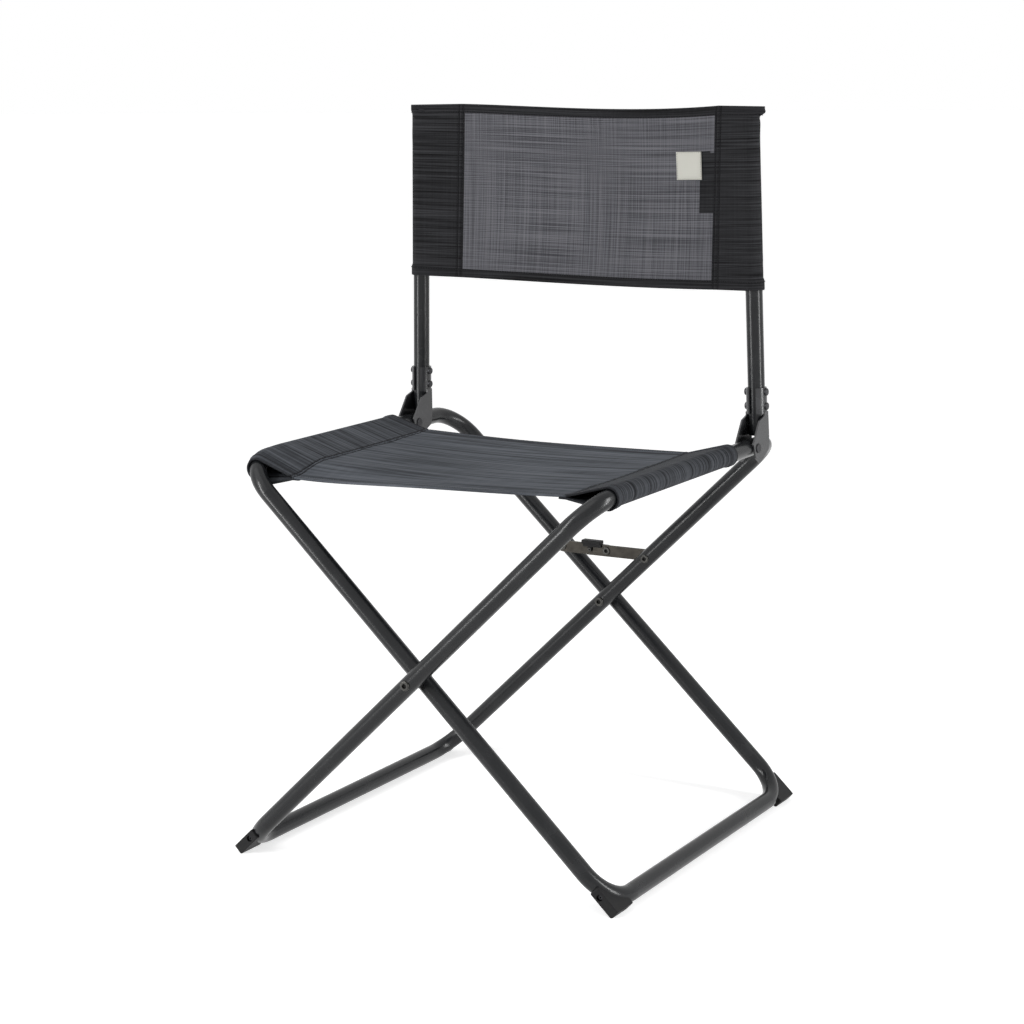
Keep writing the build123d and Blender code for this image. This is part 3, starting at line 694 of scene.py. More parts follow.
# Puckers along a seat seam, and how far and how fast their pitch drifts
PUCKER_TALL, PUCKER_PITCH, PUCKER_REACH = 0.0003, 0.0125, 0.007
PUCKER_DRIFT, DRIFT_RATE = 1.3, 90
# Slack waves: height, and each one's strength, waves per metre along and across, and phase
WAVE_TALL, WAVES = 0.0004, ((1.0, 9, 2.3, 0), (0.6, 17, -3.1, 1))
# Streaks per metre of the seat and its sleeves, and the share of the cross yarns
SEAT_STREAK, LEFT_STREAK, RIGHT_STREAK, SLEEVE_CROSS = 130.0, 260.0, 420.0, 0.12
# From the edge of a hem's lap to its stitches, on the seat and the back
STITCH_EDGE, BACK_STITCH_EDGE = 0.0015, 0.0012


def section_shares(count, last, fine):
    """Shares of a sleeve's outline: a few at its start, count up to last, and fine ones to its end."""
    first = 0.1
    return np.concatenate(
        (np.linspace(0, first, 8)[:-1], np.linspace(first, last, count), np.linspace(last, 1, fine)[1:])
    )


def seam_ridge(slings, away, wide):
    """Ridge of a seam between its stitched grooves, by the distance from the seam."""
    ridge = RIDGE_TALL * bump(0, wide, away)
    for side in (-1, 1):
        ridge = ridge - GROOVE_DEEP * bump(side * slings.seam_rows / 2, GROOVE_WIDE, away)
    return ridge[None, :]


def seam_places(slings, seams):
    """Places of the two rows of stitches of each seam."""
    return [seam + side * slings.seam_rows / 2 for seam in seams for side in (-1, 1)]


def stitch_lines(slings, grid, places, rows, seams, hems):
    """Rows of stitching on a piece of cloth: two for each seam that lies on it, and one for each hem."""
    inside = [place for place in seam_places(slings, seams) if places[0] < place < places[-1]]
    lines = [strand(grid, places, place, 1) for place in inside]
    return lines + [strand(grid, rows, place, 0) for place in hems]


def cloth_coordinates(places, rows):
    """Texture coordinates of a grid, in metres on the flat cloth."""
    return np.stack(np.broadcast_arrays(places[None, :], rows[:, None]), -1)


def sewn_cloth(name, grid, coordinates, weaves, faces, grooves):
    """A cloth with the weave of each face and the painted shade of its sewn grooves."""
    cloth = grid_object(name, grid, coordinates)
    for weave in weaves:
        cloth.data.materials.append(weave)
    cloth.data.polygons.foreach_set("material_index", faces.astype(int).ravel())
    mark_groove_shade(cloth, grooves)
    return cloth


def sewn_thread(name, slings, lines, lift):
    """Stitching along lines on a sling."""
    sizes = (slings.stitch_pitch, slings.stitch_length, slings.thread_radius)
    return mesh_object(name, *stitches(lines, *sizes, lift))


def seat_grid(slings):
    """Mid surface of the seat sling with its places across and along, all in metres."""
    seam_x = SEAT_X - slings.seat_seam
    columns = section_shares(count=62, last=0.86, fine=16)
    panel = seam_x * 2 * spaced(1.0, *SEAT_COLUMNS) - seam_x
    rows = spaced(SEAT_REAR - SEAT_FRONT, *SEAT_ROWS)
    tuck = np.linspace(SEAT_TUCK, 0, 5)[:-1]
    slope = np.array((math.cos(LEG_SLOPE), -math.sin(LEG_SLOPE)))
    tube = np.array((-SEAT_X, 0.0))
    gap = 2 * slings.cloth
    grid = []
    for row in rows:
        part = row / rows[-1]
        hem = 1 - smooth(slings.hem, slings.hem + HEM_END, min(row, rows[-1] - row))
        snug = TUBE_R + slings.slack + slings.cloth * (0.5 + 0.5 * hem)
        behind = smooth(0, MOUTH_SHARE, part)
        line = []
        for side, bend in ((-1, LEFT_BEND), (1, RIGHT_BEND)):
            y = SEAT_FRONT + row - slings.seat_skew * (0.5 + side / 2)
            mouth = slings.left_mouth * (1 - behind) if side < 0 else 0.0
            radius = snug + (slings.left_slack * behind if side < 0 else 0)
            lift = seat_height(slings, side * seam_x, part)
            past = np.clip((bend + slings.bend_radius - y + mouth) / slings.bend_radius, 0, MOST_BEND)
            shift = slings.bend_radius * (1 - math.sqrt(1 - past**2))
            slant = TUBE_R * (1 / math.sqrt(1 - past**2) - 1)
            rounds = [ellipse(tube + slope * (shift + way * slant), radius, radius) for way in (-1, 1)]
            section = sleeve(rounds, (-seam_x, lift), gap, columns, tuck)
            section = section if side < 0 else section[::-1] * np.array((-1, 1))
            ahead = mouth * np.clip((np.abs(section[:, 0]) - seam_x) / slings.seat_seam, 0, 1)
            line.append(np.stack((section[:, 0], y - ahead, SEAT_Z + section[:, 1]), 1))
        middle = panel[1:-1]
        y = SEAT_FRONT + row - slings.seat_skew * (0.5 + middle / (2 * SEAT_X))
        z = SEAT_Z + seat_height(slings, middle, part)
        grid.append(np.concatenate((line[0], np.stack((middle, y, z), 1), line[1])))
    grid = np.array(grid)
    places = reach_of(grid[len(rows) // 2])
    left = len(tuck) + len(columns) - 1
    return grid, places, rows, (places[left], places[left + len(panel) - 1])


def seat_height(slings, x, part):
    """Height of the seat panel over its tubes' axes at a place across and a share from the front."""
    sag = slings.sag_front + (slings.sag_rear - slings.sag_front) * part + MIDDLE_SAG * np.sin(math.pi * part)
    corner = slings.corner_dip * bump(-SEAT_X + slings.seat_seam, CORNER_WIDE, x)
    corner = corner * (1 - smooth(0, CORNER_SHARE, part))
    return -sag * (1 - (np.asarray(x) / SEAT_X) ** 2) - corner


def seat_relief(slings, grid, places, rows, seams):
    """Seat grid with its seam ridges, puckers and slack waves."""
    offset = np.zeros(grid.shape[:2])
    x, y = grid[:, :, 0], grid[:, :, 1]
    drift = PUCKER_DRIFT * np.sin(rows * DRIFT_RATE)
    pucker = np.sin(2 * math.pi * rows / PUCKER_PITCH + drift)[:, None]
    for seam in seams:
        away = places - seam
        offset += seam_ridge(slings, away, wide=0.0012)
        offset += PUCKER_TALL * pucker * np.exp(-np.abs(away) / PUCKER_REACH)[None, :]
    inside = ((places > seams[0]) & (places < seams[1])).astype(float)[None, :]
    waves = sum(
        strength * np.sin(2 * math.pi * (y * lengthwise + x * across) + phase)
        for strength, lengthwise, across, phase in WAVES
    )
    offset += WAVE_TALL * waves * inside
    return grid + normals_of(grid) * offset[:, :, None]


def layer_seat(slings, cloth, rows, columns):
    """Gives the seat the thickness of two layers at its hems and of one elsewhere."""
    layers = 1 - 0.5 * smooth(slings.hem, slings.hem + HEM_END, np.minimum(rows, rows[-1] - rows))
    group = cloth.vertex_groups.new(name="layers")
    for row, weight in enumerate(layers):
        group.add(list(range(row * columns, (row + 1) * columns)), float(weight), "REPLACE")
    thick = cloth.modifiers.new("layers", "SOLIDIFY")
    thick.thickness = 2 * slings.cloth
    thick.offset = 0
    thick.vertex_group = group.name


class CHAIR_OT_sew_seat(bpy.types.Operator):
    """Sews the seat sling round its two tubes, with its stitching"""

    bl_idname = "chair.sew_seat"
    bl_label = "Sew seat"

    def execute(self, context):
        slings, finishes = context.scene.chair_slings, context.scene.chair_finishes
        grid, places, rows, seams = seat_grid(slings)
        grid = seat_relief(slings, grid, places, rows, seams)
        # Painted shade: the right seat sleeve gets darker copies of the sleeve tones for its side turned away
        # from the light.
        painted_shade_tones = (shaded(finishes.sleeve_dark, 0.5), shaded(finishes.sleeve_light, 0.62))
        weaves = [
            cloth_material(name, slings.weave, streak, SLEEVE_CROSS, tones, finishes.thread)
            for name, streak, tones in (
                ("seat_weave", SEAT_STREAK, (finishes.seat_dark, finishes.seat_light)),
                ("left_sleeve_weave", LEFT_STREAK, (finishes.sleeve_dark, finishes.sleeve_light)),
                ("right_sleeve_shaded_weave", RIGHT_STREAK, painted_shade_tones),
            )
        ]
        middles = (places[:-1] + places[1:]) / 2
        faces = np.tile((middles < seams[0]) + 2 * (middles > seams[1]), len(rows) - 1)
        grooves = seat_groove_shade(slings, places, rows, seams)
        cloth = sewn_cloth("seat_cloth", grid, cloth_coordinates(places, rows), weaves, faces, grooves)
        layer_seat(slings, cloth, rows, len(places))
        hems = (slings.hem - STITCH_EDGE, rows[-1] - slings.hem + STITCH_EDGE)
        lines = stitch_lines(slings, grid, places, rows, seams, hems)
        thread = sewn_thread("seat_stitching", slings, lines, lift=slings.cloth * 0.55)
        thread.data.materials.append(thread_material("seat_thread", finishes.thread))
        for thing in (cloth, thread):
            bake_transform(thing)
        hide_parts("seat_sling")
        return {"FINISHED"}


def seat_groove_shade(slings, places, rows, seams):
    """How much painted shade each point of the seat gets: in the grooves of its seam stitching, along its
    front hem, at the sleeves' front edge, and in a dark band along its rear edge.
    """
    seam_wide, hem_wide, edge_wide = 0.0011, 0.0012, 0.0014
    grooves = np.zeros((len(rows), len(places)))
    for place, strength in zip(seam_places(slings, seams), (1.0, 1.0, 0.4, 0.4)):
        grooves += strength * bump(place, seam_wide, places)[None, :]
    # Painted shade: a dark band along the rear edge, and a dark line just inside it.
    rear = rows[-1] - rows
    for strength, place, wide in ((0.9, 0, 0.0035), (0.8, 0.0125, 0.003)):
        grooves += strength * bump(place, wide, rear)[:, None]
    hem = 0.5 * bump(slings.hem, hem_wide, rows)[:, None]
    sleeves = ((places < seams[0]) | (places > seams[1])).astype(float)[None, :]
    return grooves + hem + sleeves * (hem + 0.6 * bump(0, edge_wide, rows)[:, None])


# Back

# Radius of the folded edges, and edge, fine step and coarse step of the rows
HEM_FOLD, BACK_ROWS = 0.0007, (0.016, 0.0011, 0.0023)
# The same of the panel's columns, as shares
BACK_COLUMNS = (0.02, 0.003, 0.0095)
# Cloth's offset from the tube, what the lower hem adds to it, and the height over which that ends
BACK_CLOTH, HEM_SWELL, SWELL_END = 0.0006, 0.0012, 0.004
# A sleeve closes above its plug: height of the change, depth when closed, and how thin its hem gets
CLOSE_TALL, CLOSED_DEEP, CLOSED_THIN = 0.0095, 0.0018, 0.6
# Gap between the two sides of a seam, the drop of a top corner and the height over which it drops
BACK_GAP, EAR_DROP, EAR_TALL = 0.0012, 0.0027, 0.03
# How far the lowest point of the panel's edges is moved to the right, as a power
DIP_SKEW = 1.5
# Streaks per metre and share of the cross yarns: panel, sleeves and tape
PANEL_YARN, MESH_YARN, TAPE_YARN = (1000.0, 0.7), (520.0, 0.12), (600.0, 0.3)
# Offsets up to this one lie on the front layer of the hems
ON_FRONT = 1e-6


def back_rows(slings):
    """Places up the back with the inward offset of the folded hems and the distance along the cloth."""
    fold = HEM_FOLD
    turn = np.linspace(-math.pi / 2, math.pi / 2, 7)
    hem = np.linspace(slings.back_hem, fold, 9)[:-1]
    rows = spaced(BACK_TOP - BACK_BOTTOM - 2 * fold, *BACK_ROWS)
    path = [(BACK_BOTTOM + place, 2 * fold) for place in hem]
    path += [(BACK_BOTTOM + fold - fold * math.cos(spot), fold - fold * math.sin(spot)) for spot in turn]
    path += [(BACK_BOTTOM + fold + place, 0) for place in rows[1:-1]]
    path += [(BACK_TOP - fold + fold * math.cos(spot), fold + fold * math.sin(spot)) for spot in turn]
    path += [(BACK_TOP - place, 2 * fold) for place in hem[::-1]]
    path = np.array(path)
    return path[:, 0], path[:, 1], reach_of(path)


def seam_reach(slings, side, height):
    """Distance from an upright's axis to its seam at a height."""
    part = (height - BACK_BOTTOM) / (BACK_TOP - BACK_BOTTOM) - 0.5
    if side < 0:
        return slings.left_seam + slings.left_seam_lean * part
    return slings.right_seam - slings.right_seam_lean * part


def belly_at(slings, across, height):
    """How far the panel stands back at a share across it and a height."""
    part = np.clip((height - BACK_BOTTOM) / (BACK_TOP - BACK_BOTTOM), 0, 1)
    return slings.belly * (1 - (2 * np.clip(across, 0, 1) - 1) ** 4) * (1 - (2 * part - 1) ** 2)


def panel_rear(slings, x, z):
    """How far the panel stands back at a place on the chair."""
    height = (z - SEAT_Z) / math.cos(LEAN)
    left, right = (
        side * (SEAT_X - seam_reach(slings, side, height) * math.cos(LEAN) - height * math.sin(LEAN))
        for side in (-1, 1)
    )
    return belly_at(slings, (x - left) / (right - left), height)


def sleeve_end(slings, side, height, closed):
    """Points across one sleeve of the back at a height, from left to right."""
    hem = 1 - smooth(slings.back_hem, slings.back_hem + SWELL_END, height - BACK_BOTTOM)
    radius = TUBE_R + slings.slack + BACK_CLOTH + HEM_SWELL * hem
    ear = slings.ear_left if side < 0 else slings.ear_right
    wide, deep = radius + ear * closed, radius + (CLOSED_DEEP - radius) * closed
    seam = seam_reach(slings, side, height)
    columns = section_shares(count=66, last=0.88, fine=14)
    tuck = np.linspace(slings.cloth, 0, 3)[:-1]
    section = sleeve([ellipse((0, 0), wide, deep)], (seam, BACK_GAP / 2), BACK_GAP, columns, tuck)
    outer = np.clip(1 - (section[:, 0] + wide) / (seam + wide), 0, 1)
    drop = EAR_DROP * outer * smooth(BACK_TOP - EAR_TALL, BACK_TOP, height)
    if side < 0:
        drop = drop - slings.left_rise
    else:
        drop = drop + slings.right_drop * smooth(BACK_BOTTOM, BACK_TOP, height)
    x = -SEAT_X + section[:, 0] * math.cos(LEAN) + (height - drop) * math.sin(LEAN)
    z = SEAT_Z - section[:, 0] * math.sin(LEAN) + (height - drop) * math.cos(LEAN)
    end = np.stack((x, UPRIGHT_Y - section[:, 1], z), 1)
    return end if side < 0 else end[::-1] * np.array((-1, 1, 1))


def back_grid(slings):
    """Surface of the back sling, its places across and up the cloth, its rows and its seams' columns."""
    heights, inward, reach = back_rows(slings)
    panel = spaced(1.0, *BACK_COLUMNS)[1:-1]
    grid = []
    for height, offset in zip(heights, inward):
        closed = smooth(PLUG_TOP, PLUG_TOP + CLOSE_TALL, height)
        left, right = (sleeve_end(slings, side, height, closed) for side in (-1, 1))
        middle = left[-1] + (right[0] - left[-1]) * panel[:, None]
        dip = slings.low_dip + (slings.back_dip - slings.low_dip) * smooth(BACK_BOTTOM, BACK_TOP, height)
        middle[:, 2] -= dip * (1 - (2 * panel**DIP_SKEW - 1) ** 2)
        middle[:, 1] += belly_at(slings, panel, height)
        line = np.concatenate((left, middle, right))
        facing = np.gradient(line, axis=0)
        facing = np.stack((facing[:, 1], -facing[:, 0], np.zeros(len(line))), 1)
        facing /= np.maximum(np.linalg.norm(facing, axis=1, keepdims=True), 1e-12)
        grid.append(line - facing * offset * (1 - CLOSED_THIN * closed))
    grid = np.array(grid)
    columns = (len(left) - 1, len(left) + len(middle))
    return grid, reach_of(grid[len(heights) // 2]), reach, heights, inward, columns


def back_relief(slings, grid, places, heights, inward, seams):
    """Back grid with its seam ridges and the wrinkles that run from the top and bottom corners."""
    corner, front_end, above, beside = 0.073, 0.066, 0.003, 0.006
    fan_tall, fan_lines, fan_reach, fan_start, fan_edge = 0.0011, 11, 0.035, 0.012, 0.006
    curl_tall, curl_pitch, curl_slant = 0.00045, 0.017, 0.06
    curl_up, curl_across = (0.03, 0.016), (0.035, 0.022)
    depth, low = (BACK_TOP - heights)[:, None], (heights - BACK_BOTTOM)[:, None]
    offset = np.zeros(grid.shape[:2])
    for seam, outward in zip(seams, (-1, 1)):
        away = places - seam
        offset += seam_ridge(slings, away, wide=0.0011)
        out = outward * away
        from_ear = np.clip(corner - out, 0, None)[None, :]
        front = ((out > 0) & (out < front_end)).astype(float)[None, :]
        turn = np.arctan2(depth + above, from_ear + beside)
        far = np.hypot(depth, from_ear)
        fan = np.cos(turn * fan_lines + outward) * np.exp(-far / fan_reach) * smooth(0.0, fan_edge, depth)
        offset += fan_tall * fan * front * smooth(0, fan_start, out)[None, :]
        curl = np.sin(2 * math.pi * (low / curl_pitch + from_ear / curl_slant)) * bump(*curl_up, low)
        offset += curl_tall * curl * front * bump(*curl_across, out)[None, :]
    keep = (inward < ON_FRONT).astype(float)[:, None]
    return grid + normals_of(grid) * (offset * keep)[:, :, None]


def right_fold():
    """Moves a point of the right upright at rest to its folded place, as the left upright sees it."""
    def turned(name):
        joint = JOINTS[name]
        place = Matrix.Translation(Vector(joint["pos_m"]))
        turn = Matrix.Rotation(math.radians(joint["range_deg"][1]), 4, Vector(joint["axis"]))
        return place @ turn @ place.inverted()

    return turned("left_back_fold").inverted() @ turned("frame_fold") @ turned("right_back_fold")


def beside_upright(side, out):
    """A point beside an upright's axis, out towards the other upright, halfway up the back."""
    height = (BACK_BOTTOM + BACK_TOP) / 2
    x = SEAT_X - out * math.cos(LEAN) - height * math.sin(LEAN)
    return Vector((side * x, UPRIGHT_Y, SEAT_Z - out * math.sin(LEAN) + height * math.cos(LEAN)))


def seam_middle(slings, side, kept=1.0):
    """Middle of a back seam, when its sleeve keeps a share of its width."""
    reach = seam_reach(slings, side, (BACK_BOTTOM + BACK_TOP) / 2)
    return beside_upright(side, kept * (reach + TUBE_R) - TUBE_R)


def draw_in_sleeve(slings, side, *things):
    """Lets a back sleeve follow its upright."""
    for thing in things:
        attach(thing, "left_back" if side < 0 else "right_back")
        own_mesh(thing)


def squash_back(slings, *things):
    """Lets the soft pieces between the two back seams follow the left upright."""
    right_end = right_fold() @ seam_middle(slings, 1, SLEEVE_KEPT)
    for thing in things:
        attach(thing, "left_back")
        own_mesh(thing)


def back_groove_shade(slings, places, heights, seams):
    """How much painted shade each point of the back gets in the grooves of its seam and hem stitching."""
    wide, hem_strength, edge = 0.0009, 0.8, 0.0008
    grooves = np.zeros((len(heights), len(places)))
    for place in seam_places(slings, seams):
        grooves += bump(place, wide, places)[None, :]
    for value in (BACK_BOTTOM + slings.back_hem - edge, BACK_TOP - slings.back_hem + edge):
        grooves += hem_strength * bump(value, wide, heights)[:, None]
    return grooves


def backed_faces(slings, grid, places, heights, inward, seams):
    """Faces of the back that lie double: sleeves, hems, seam allowances and the strip before the tape."""
    across, up = (places[:-1] + places[1:]) / 2, (heights[:-1] + heights[1:]) / 2
    wrapped = (across < seams[0] + slings.allowance) | (across > seams[1] - slings.allowance)
    hemmed = (np.minimum(up - BACK_BOTTOM, BACK_TOP - up) < slings.back_hem) | (inward[1:] > ON_FRONT)
    middle = (grid[:-1, :-1] + grid[1:, 1:]) / 2
    x, z = middle[:, :, 0], middle[:, :, 2]
    taped = (x > TAPE_LEFT) & (z < LABEL_HIGH.z) & (z > LABEL_HIGH.z - TAPE_TALL)
    return wrapped[None, :] | hemmed[:, None] | taped


def rear_tape(slings, tone):
    """Short tape sewn behind the panel at the right seam."""
    behind, crown, curl, lean = 0.0022, 0.0012, 2.4, 0.0006
    columns, rows = 13, 25
    across, up = np.meshgrid(np.linspace(0, 1, columns), np.linspace(0, 1, rows))
    x = TAPE_LEFT + TAPE_WIDE * across
    z = LABEL_HIGH.z - TAPE_TALL + TAPE_TALL * up
    y = UPRIGHT_Y + behind + crown * np.sin(math.pi * across) * np.cos(curl * up) + lean * (1 - up)
    grid = np.stack((x, y + panel_rear(slings, x, z), z), -1)
    tape = grid_object("rear_tape", grid, np.stack((TAPE_WIDE * across, TAPE_TALL * up), -1))
    streak, cross = TAPE_YARN
    values = {"Pitch": 0.0008, "Streak": streak, "Cross": cross}
    tones = (shaded(tone, 0.7), shaded(tone, 1.3))
    depth, finish = (0.4, 0.0002), {"Roughness": 0.7, SPECULAR: 0.15}
    weave = surface("tape_weave", weave_group(), "UV", values, tones, "Tone", depth, finish)
    tape.data.materials.append(weave)
    return tape


class CHAIR_OT_sew_back(bpy.types.Operator):
    """Sews the back sling over the uprights: two sleeves and a panel, with hems, stitching and rear tape"""

    bl_idname = "chair.sew_back"
    bl_label = "Sew back"

    def execute(self, context):
        slings, finishes = context.scene.chair_slings, context.scene.chair_finishes
        grid, places, reach, heights, inward, columns = back_grid(slings)
        seams = places[list(columns)]
        grid = back_relief(slings, grid, places, heights, inward, seams)
        weaves = [
            cloth_material(name, slings.back_weave, streak, cross, tones, finishes.thread)
            for name, (streak, cross), tones in (
                ("back_weave", PANEL_YARN, (finishes.panel_dark, finishes.panel_light)),
                ("back_sleeve_weave", MESH_YARN, (finishes.mesh_dark, finishes.mesh_light)),
            )
        ]
        yarn = thread_material("back_thread", finishes.thread)
        doubled = backed_faces(slings, grid, places, heights, inward, seams)
        grooves = back_groove_shade(slings, places, heights, seams)
        main = inward < ON_FRONT
        up = heights[main] - heights[main][0]
        hems = (slings.back_hem - BACK_STITCH_EDGE, up[-1] - slings.back_hem + BACK_STITCH_EDGE)
        made = {}
        for name, first, last in (
            ("left_back_sleeve", 0, columns[0]),
            ("back_cloth", *columns),
            ("right_back_sleeve", columns[1], len(places) - 1),
        ):
            part, spots = grid[:, first:last + 1], places[first:last + 1]
            # deep holds the painted shade of the sewn grooves on this piece.
            faces, deep = doubled[:, first:last], grooves[:, first:last + 1]
            cloth = sewn_cloth(name, part, cloth_coordinates(spots, reach), weaves, faces, deep)
            lines = stitch_lines(slings, part[main], spots, up, seams, hems)
            thread = sewn_thread(name + "_stitching", slings, lines, lift=0.0001)
            thread.data.materials.append(yarn)
            made[name] = (cloth, thread, spots[-1] - spots[0])
        tape = rear_tape(slings, finishes.tape)
        squash_back(slings, *made["back_cloth"][:2], tape)
        draw_in_sleeve(slings, -1, *made["left_back_sleeve"][:2])
        draw_in_sleeve(slings, 1, *made["right_back_sleeve"][:2])
        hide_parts("back_sling")
        return {"FINISHED"}


# Label

# Columns and rows of the label, its tilt, its gap before the panel and its thickness
LABEL_COUNT, LABEL_TILT, LABEL_GAP, LABEL_THICK = 33, math.radians(1.2), 0.0020, 0.0005
# The swell inside the label's edge: its height, and where it starts and ends as shares of the label
LABEL_SWELL, SWELL_START, SWELL_STOP = 0.0005, 0.03, 0.12
# Label stitches: pitch, length, radius and lift
LABEL_STITCHES = (0.0026, 0.0019, 0.0003, 0.0002)


class CHAIR_OT_sew_label(bpy.types.Operator):
    """Sews the bare label to the back"""

    bl_idname = "chair.sew_label"
    bl_label = "Sew label"

    def execute(self, context):
        slings, finishes = context.scene.chair_slings, context.scene.chair_finishes
        wide, tall = LABEL_HIGH.x - LABEL_LOW.x, LABEL_HIGH.z - LABEL_LOW.z
        shares = np.linspace(-0.5, 0.5, LABEL_COUNT)
        across, up = np.meshgrid(shares, shares)
        cos_t, sin_t = math.cos(LABEL_TILT), math.sin(LABEL_TILT)
        x = (LABEL_LOW.x + LABEL_HIGH.x) / 2 + wide * (across * cos_t - up * sin_t)
        z = (LABEL_LOW.z + LABEL_HIGH.z) / 2 + tall * (up * cos_t + across * sin_t)
        edge = np.minimum(0.5 - np.abs(across), 0.5 - np.abs(up))
        swell = LABEL_SWELL * smooth(SWELL_START, SWELL_STOP, edge)
        y = UPRIGHT_Y - LABEL_GAP - swell + panel_rear(slings, x, z)
        grid = np.stack((x, y, z), -1)
        label = grid_object("label_cloth", grid, np.stack((wide * across, tall * up), -1))
        label.modifiers.new("cloth", "SOLIDIFY").thickness = LABEL_THICK
        values = {"Pitch": 0.0005, "Streak": 1500.0, "Cross": 0.3}
        tones = (shaded(finishes.label, 0.95), finishes.label)
        depth, finish = (0.1, 0.0001), {"Roughness": 0.8}
        weave = surface("label_weave", weave_group(), "UV", values, tones, "Tone", depth, finish)
        label.data.materials.append(weave)
        ring = np.concatenate((grid[1, 1:-1], grid[1:-1, -2], grid[-2, -2:0:-1], grid[-2:0:-1, 1]))
        outward = np.tile((0.0, -1.0, 0.0), (len(ring), 1))
        thread = mesh_object("label_stitching", *stitches([(ring, outward)], *LABEL_STITCHES))
        thread.data.materials.append(thread_material("label_thread", finishes.label_thread))
        squash_back(slings, label, thread)
        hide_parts("back_label")
        return {"FINISHED"}


# Stage

WHITE = (1, 1, 1, 1)
# Width of the camera's sensor in millimetres, and half the floor's width in metres
SENSOR, FLOOR_HALF = 36, 30.0
# Two strip lamps: their places and aim, width and height in metres, and power in watts
STRIPS = {"left_strip": (-1.35, -2.1, 1.0), "right_strip": (2.45, 0.15, 1.0)}
STRIP_AIM, STRIP_SIZE, STRIP_POWER = (0, 0, 0.45), (0.26, 2.0), 45
# The overhead lamp: its place, from which it shines at the origin, its strength and its angle
OVERHEAD_PLACE, OVERHEAD_STRENGTH, OVERHEAD_ANGLE = (-1.05, -1.5, 3), 0.73, math.radians(55)


def place_camera(scene, stage):
    """Puts the camera at the photograph's viewing angle."""
    sin_a, cos_a = math.sin(stage.azimuth), math.cos(stage.azimuth)
    sin_e, cos_e = math.sin(stage.elevation), math.cos(stage.elevation)
    back = Vector((sin_a * cos_e, -cos_a * cos_e, sin_e))
    right = Vector((cos_a, sin_a, 0))
    up = back.cross(right)
    place = right * stage.aim_side + Vector((0, 0, stage.aim_height)) + back * stage.distance
    turned_right = right * math.cos(stage.roll) + up * math.sin(stage.roll)
    turned_up = up * math.cos(stage.roll) - right * math.sin(stage.roll)
    data = bpy.data.cameras.new("camera")
    data.lens = stage.lens
    data.sensor_width = SENSOR
    data.sensor_fit = "HORIZONTAL"
    camera = bpy.data.objects.new("camera", data)
    scene.collection.objects.link(camera)
    axes = Matrix((turned_right, turned_up, back)).transposed().to_4x4()
    camera.matrix_world = Matrix.Translation(place) @ axes
    scene.camera = camera


def add_lamp(scene, name, kind, place, turn, energy, tone):
    """A lamp of a kind at a place, turned by a quaternion."""
    data = bpy.data.lights.new(name, kind)
    data.energy = energy
    data.color = tone[:3]
    lamp = bpy.data.objects.new(name, data)
    scene.collection.objects.link(lamp)
    lamp.location = place
    lamp.rotation_euler = turn.to_euler()
    return lamp


def strip_lamp(scene, name, place, tone):
    """A tall rectangular lamp that faces the chair."""
    turn = (Vector(STRIP_AIM) - Vector(place)).to_track_quat("-Z", "Y")
    lamp = add_lamp(scene, name, "AREA", place, turn, STRIP_POWER, tone)
    lamp.data.shape = "RECTANGLE"
    lamp.data.size, lamp.data.size_y = STRIP_SIZE
    return lamp


def overhead(scene, tone):
    """A wide soft lamp far above that lights the whole floor evenly."""
    turn = Vector(OVERHEAD_PLACE).to_track_quat("Z", "Y")
    lamp = add_lamp(scene, "overhead_lamp", "SUN", OVERHEAD_PLACE, turn, OVERHEAD_STRENGTH, tone)
    lamp.data.angle = OVERHEAD_ANGLE
    return lamp


def seen_mask(tree):
    """1 for rays that see a surface straight, by reflection or through gaps."""
    path = add(tree, "ShaderNodeLightPath")
    first = math_node(tree, "MAXIMUM", path.outputs["Is Camera Ray"], path.outputs["Is Glossy Ray"])
    return math_node(tree, "MAXIMUM", first, path.outputs["Is Transmission Ray"])


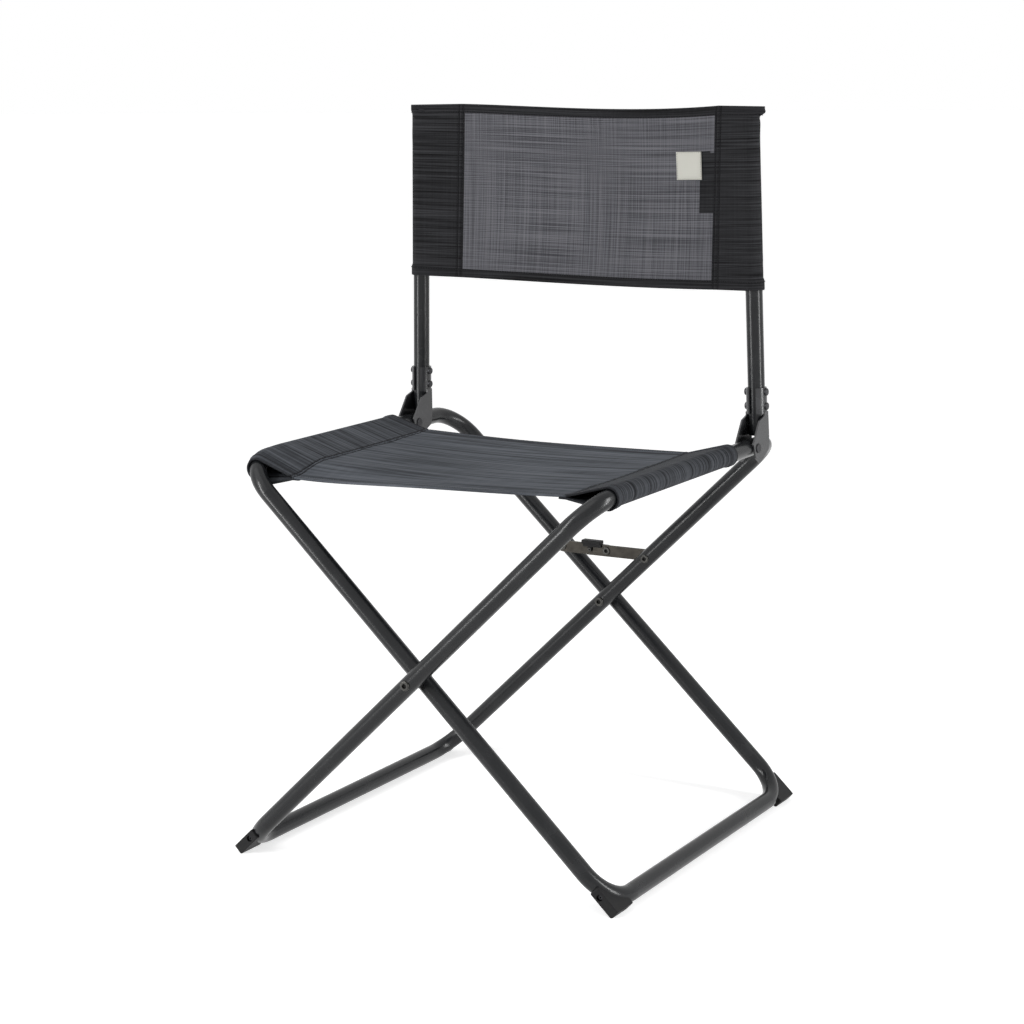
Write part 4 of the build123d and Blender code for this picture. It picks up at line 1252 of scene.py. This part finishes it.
class CHAIR_OT_set_stage(bpy.types.Operator):
    """Sets the floor, the lamps, the world and the camera"""

    bl_idname = "chair.set_stage"
    bl_label = "Set stage"

    def execute(self, context):
        scene, stage = context.scene, context.scene.chair_stage
        place_camera(scene, stage)
        corners = [(x * FLOOR_HALF, y * FLOOR_HALF, 0) for x, y in ((-1, -1), (1, -1), (1, 1), (-1, 1))]
        floor = mesh_object("studio_floor", corners, [(0, 1, 2, 3)], [(x, y) for x, y, z in corners])
        paper = new_material("floor_paper", {
            "Base Color": stage.floor, "Roughness": 0.9, SPECULAR: 0.1, "Emission Color": WHITE,
        })
        lift = math_node(paper.node_tree, "MULTIPLY", seen_mask(paper.node_tree), stage.floor_lift)
        paper.node_tree.links.new(lift, shader_of(paper).inputs["Emission Strength"])
        floor.data.materials.append(paper)
        lamps = [strip_lamp(scene, name, place, stage.softbox) for name, place in STRIPS.items()]
        lamps.append(overhead(scene, stage.softbox))
        world = bpy.data.worlds.new("studio_world")
        scene.world = world
        world.use_nodes = True
        tree = world.node_tree
        sky = tree.nodes["Background"]
        sky.inputs["Color"].default_value = WHITE
        tree.links.new(spread(tree, seen_mask(tree), (0.0, 1.0), (stage.sky, 1.0)), sky.inputs["Strength"])
        scene.view_settings.view_transform = "Standard"
        return {"FINISHED"}


class CHAIR_PT_builder(bpy.types.Panel):
    """Buttons for the chair's pieces"""

    bl_idname = "CHAIR_PT_builder"
    bl_label = "Folding camp chair"
    bl_space_type = "VIEW_3D"
    bl_region_type = "UI"
    bl_category = "Chair"

    def draw(self, context):
        """Lists one button for each operator."""
        for operator in OPERATORS:
            self.layout.operator(operator.bl_idname)


OPERATORS = (
    CHAIR_OT_coat_frame,
    CHAIR_OT_plate_fasteners,
    CHAIR_OT_mould_plastics,
    CHAIR_OT_sew_seat,
    CHAIR_OT_sew_back,
    CHAIR_OT_sew_label,
    CHAIR_OT_set_stage,
)
SETTINGS = {"chair_finishes": ChairFinishes, "chair_slings": ChairSlings, "chair_stage": ChairStage}


def register():
    """Registers the classes and their settings."""
    for cls in (*SETTINGS.values(), *OPERATORS, CHAIR_PT_builder):
        bpy.utils.register_class(cls)
    for name, cls in SETTINGS.items():
        setattr(bpy.types.Scene, name, bpy.props.PointerProperty(type=cls))


def unregister():
    """Removes the classes and their settings."""
    for name in SETTINGS:
        delattr(bpy.types.Scene, name)
    for cls in reversed((*SETTINGS.values(), *OPERATORS, CHAIR_PT_builder)):
        bpy.utils.unregister_class(cls)


def main():
    """Builds the dressed chair on its stage."""
    register()
    bpy.ops.chair.coat_frame()
    bpy.ops.chair.plate_fasteners()
    bpy.ops.chair.mould_plastics()
    bpy.ops.chair.sew_seat()
    bpy.ops.chair.sew_back()
    bpy.ops.chair.sew_label()
    bpy.ops.chair.set_stage()
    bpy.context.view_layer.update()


if __name__ == "__main__":
    main()
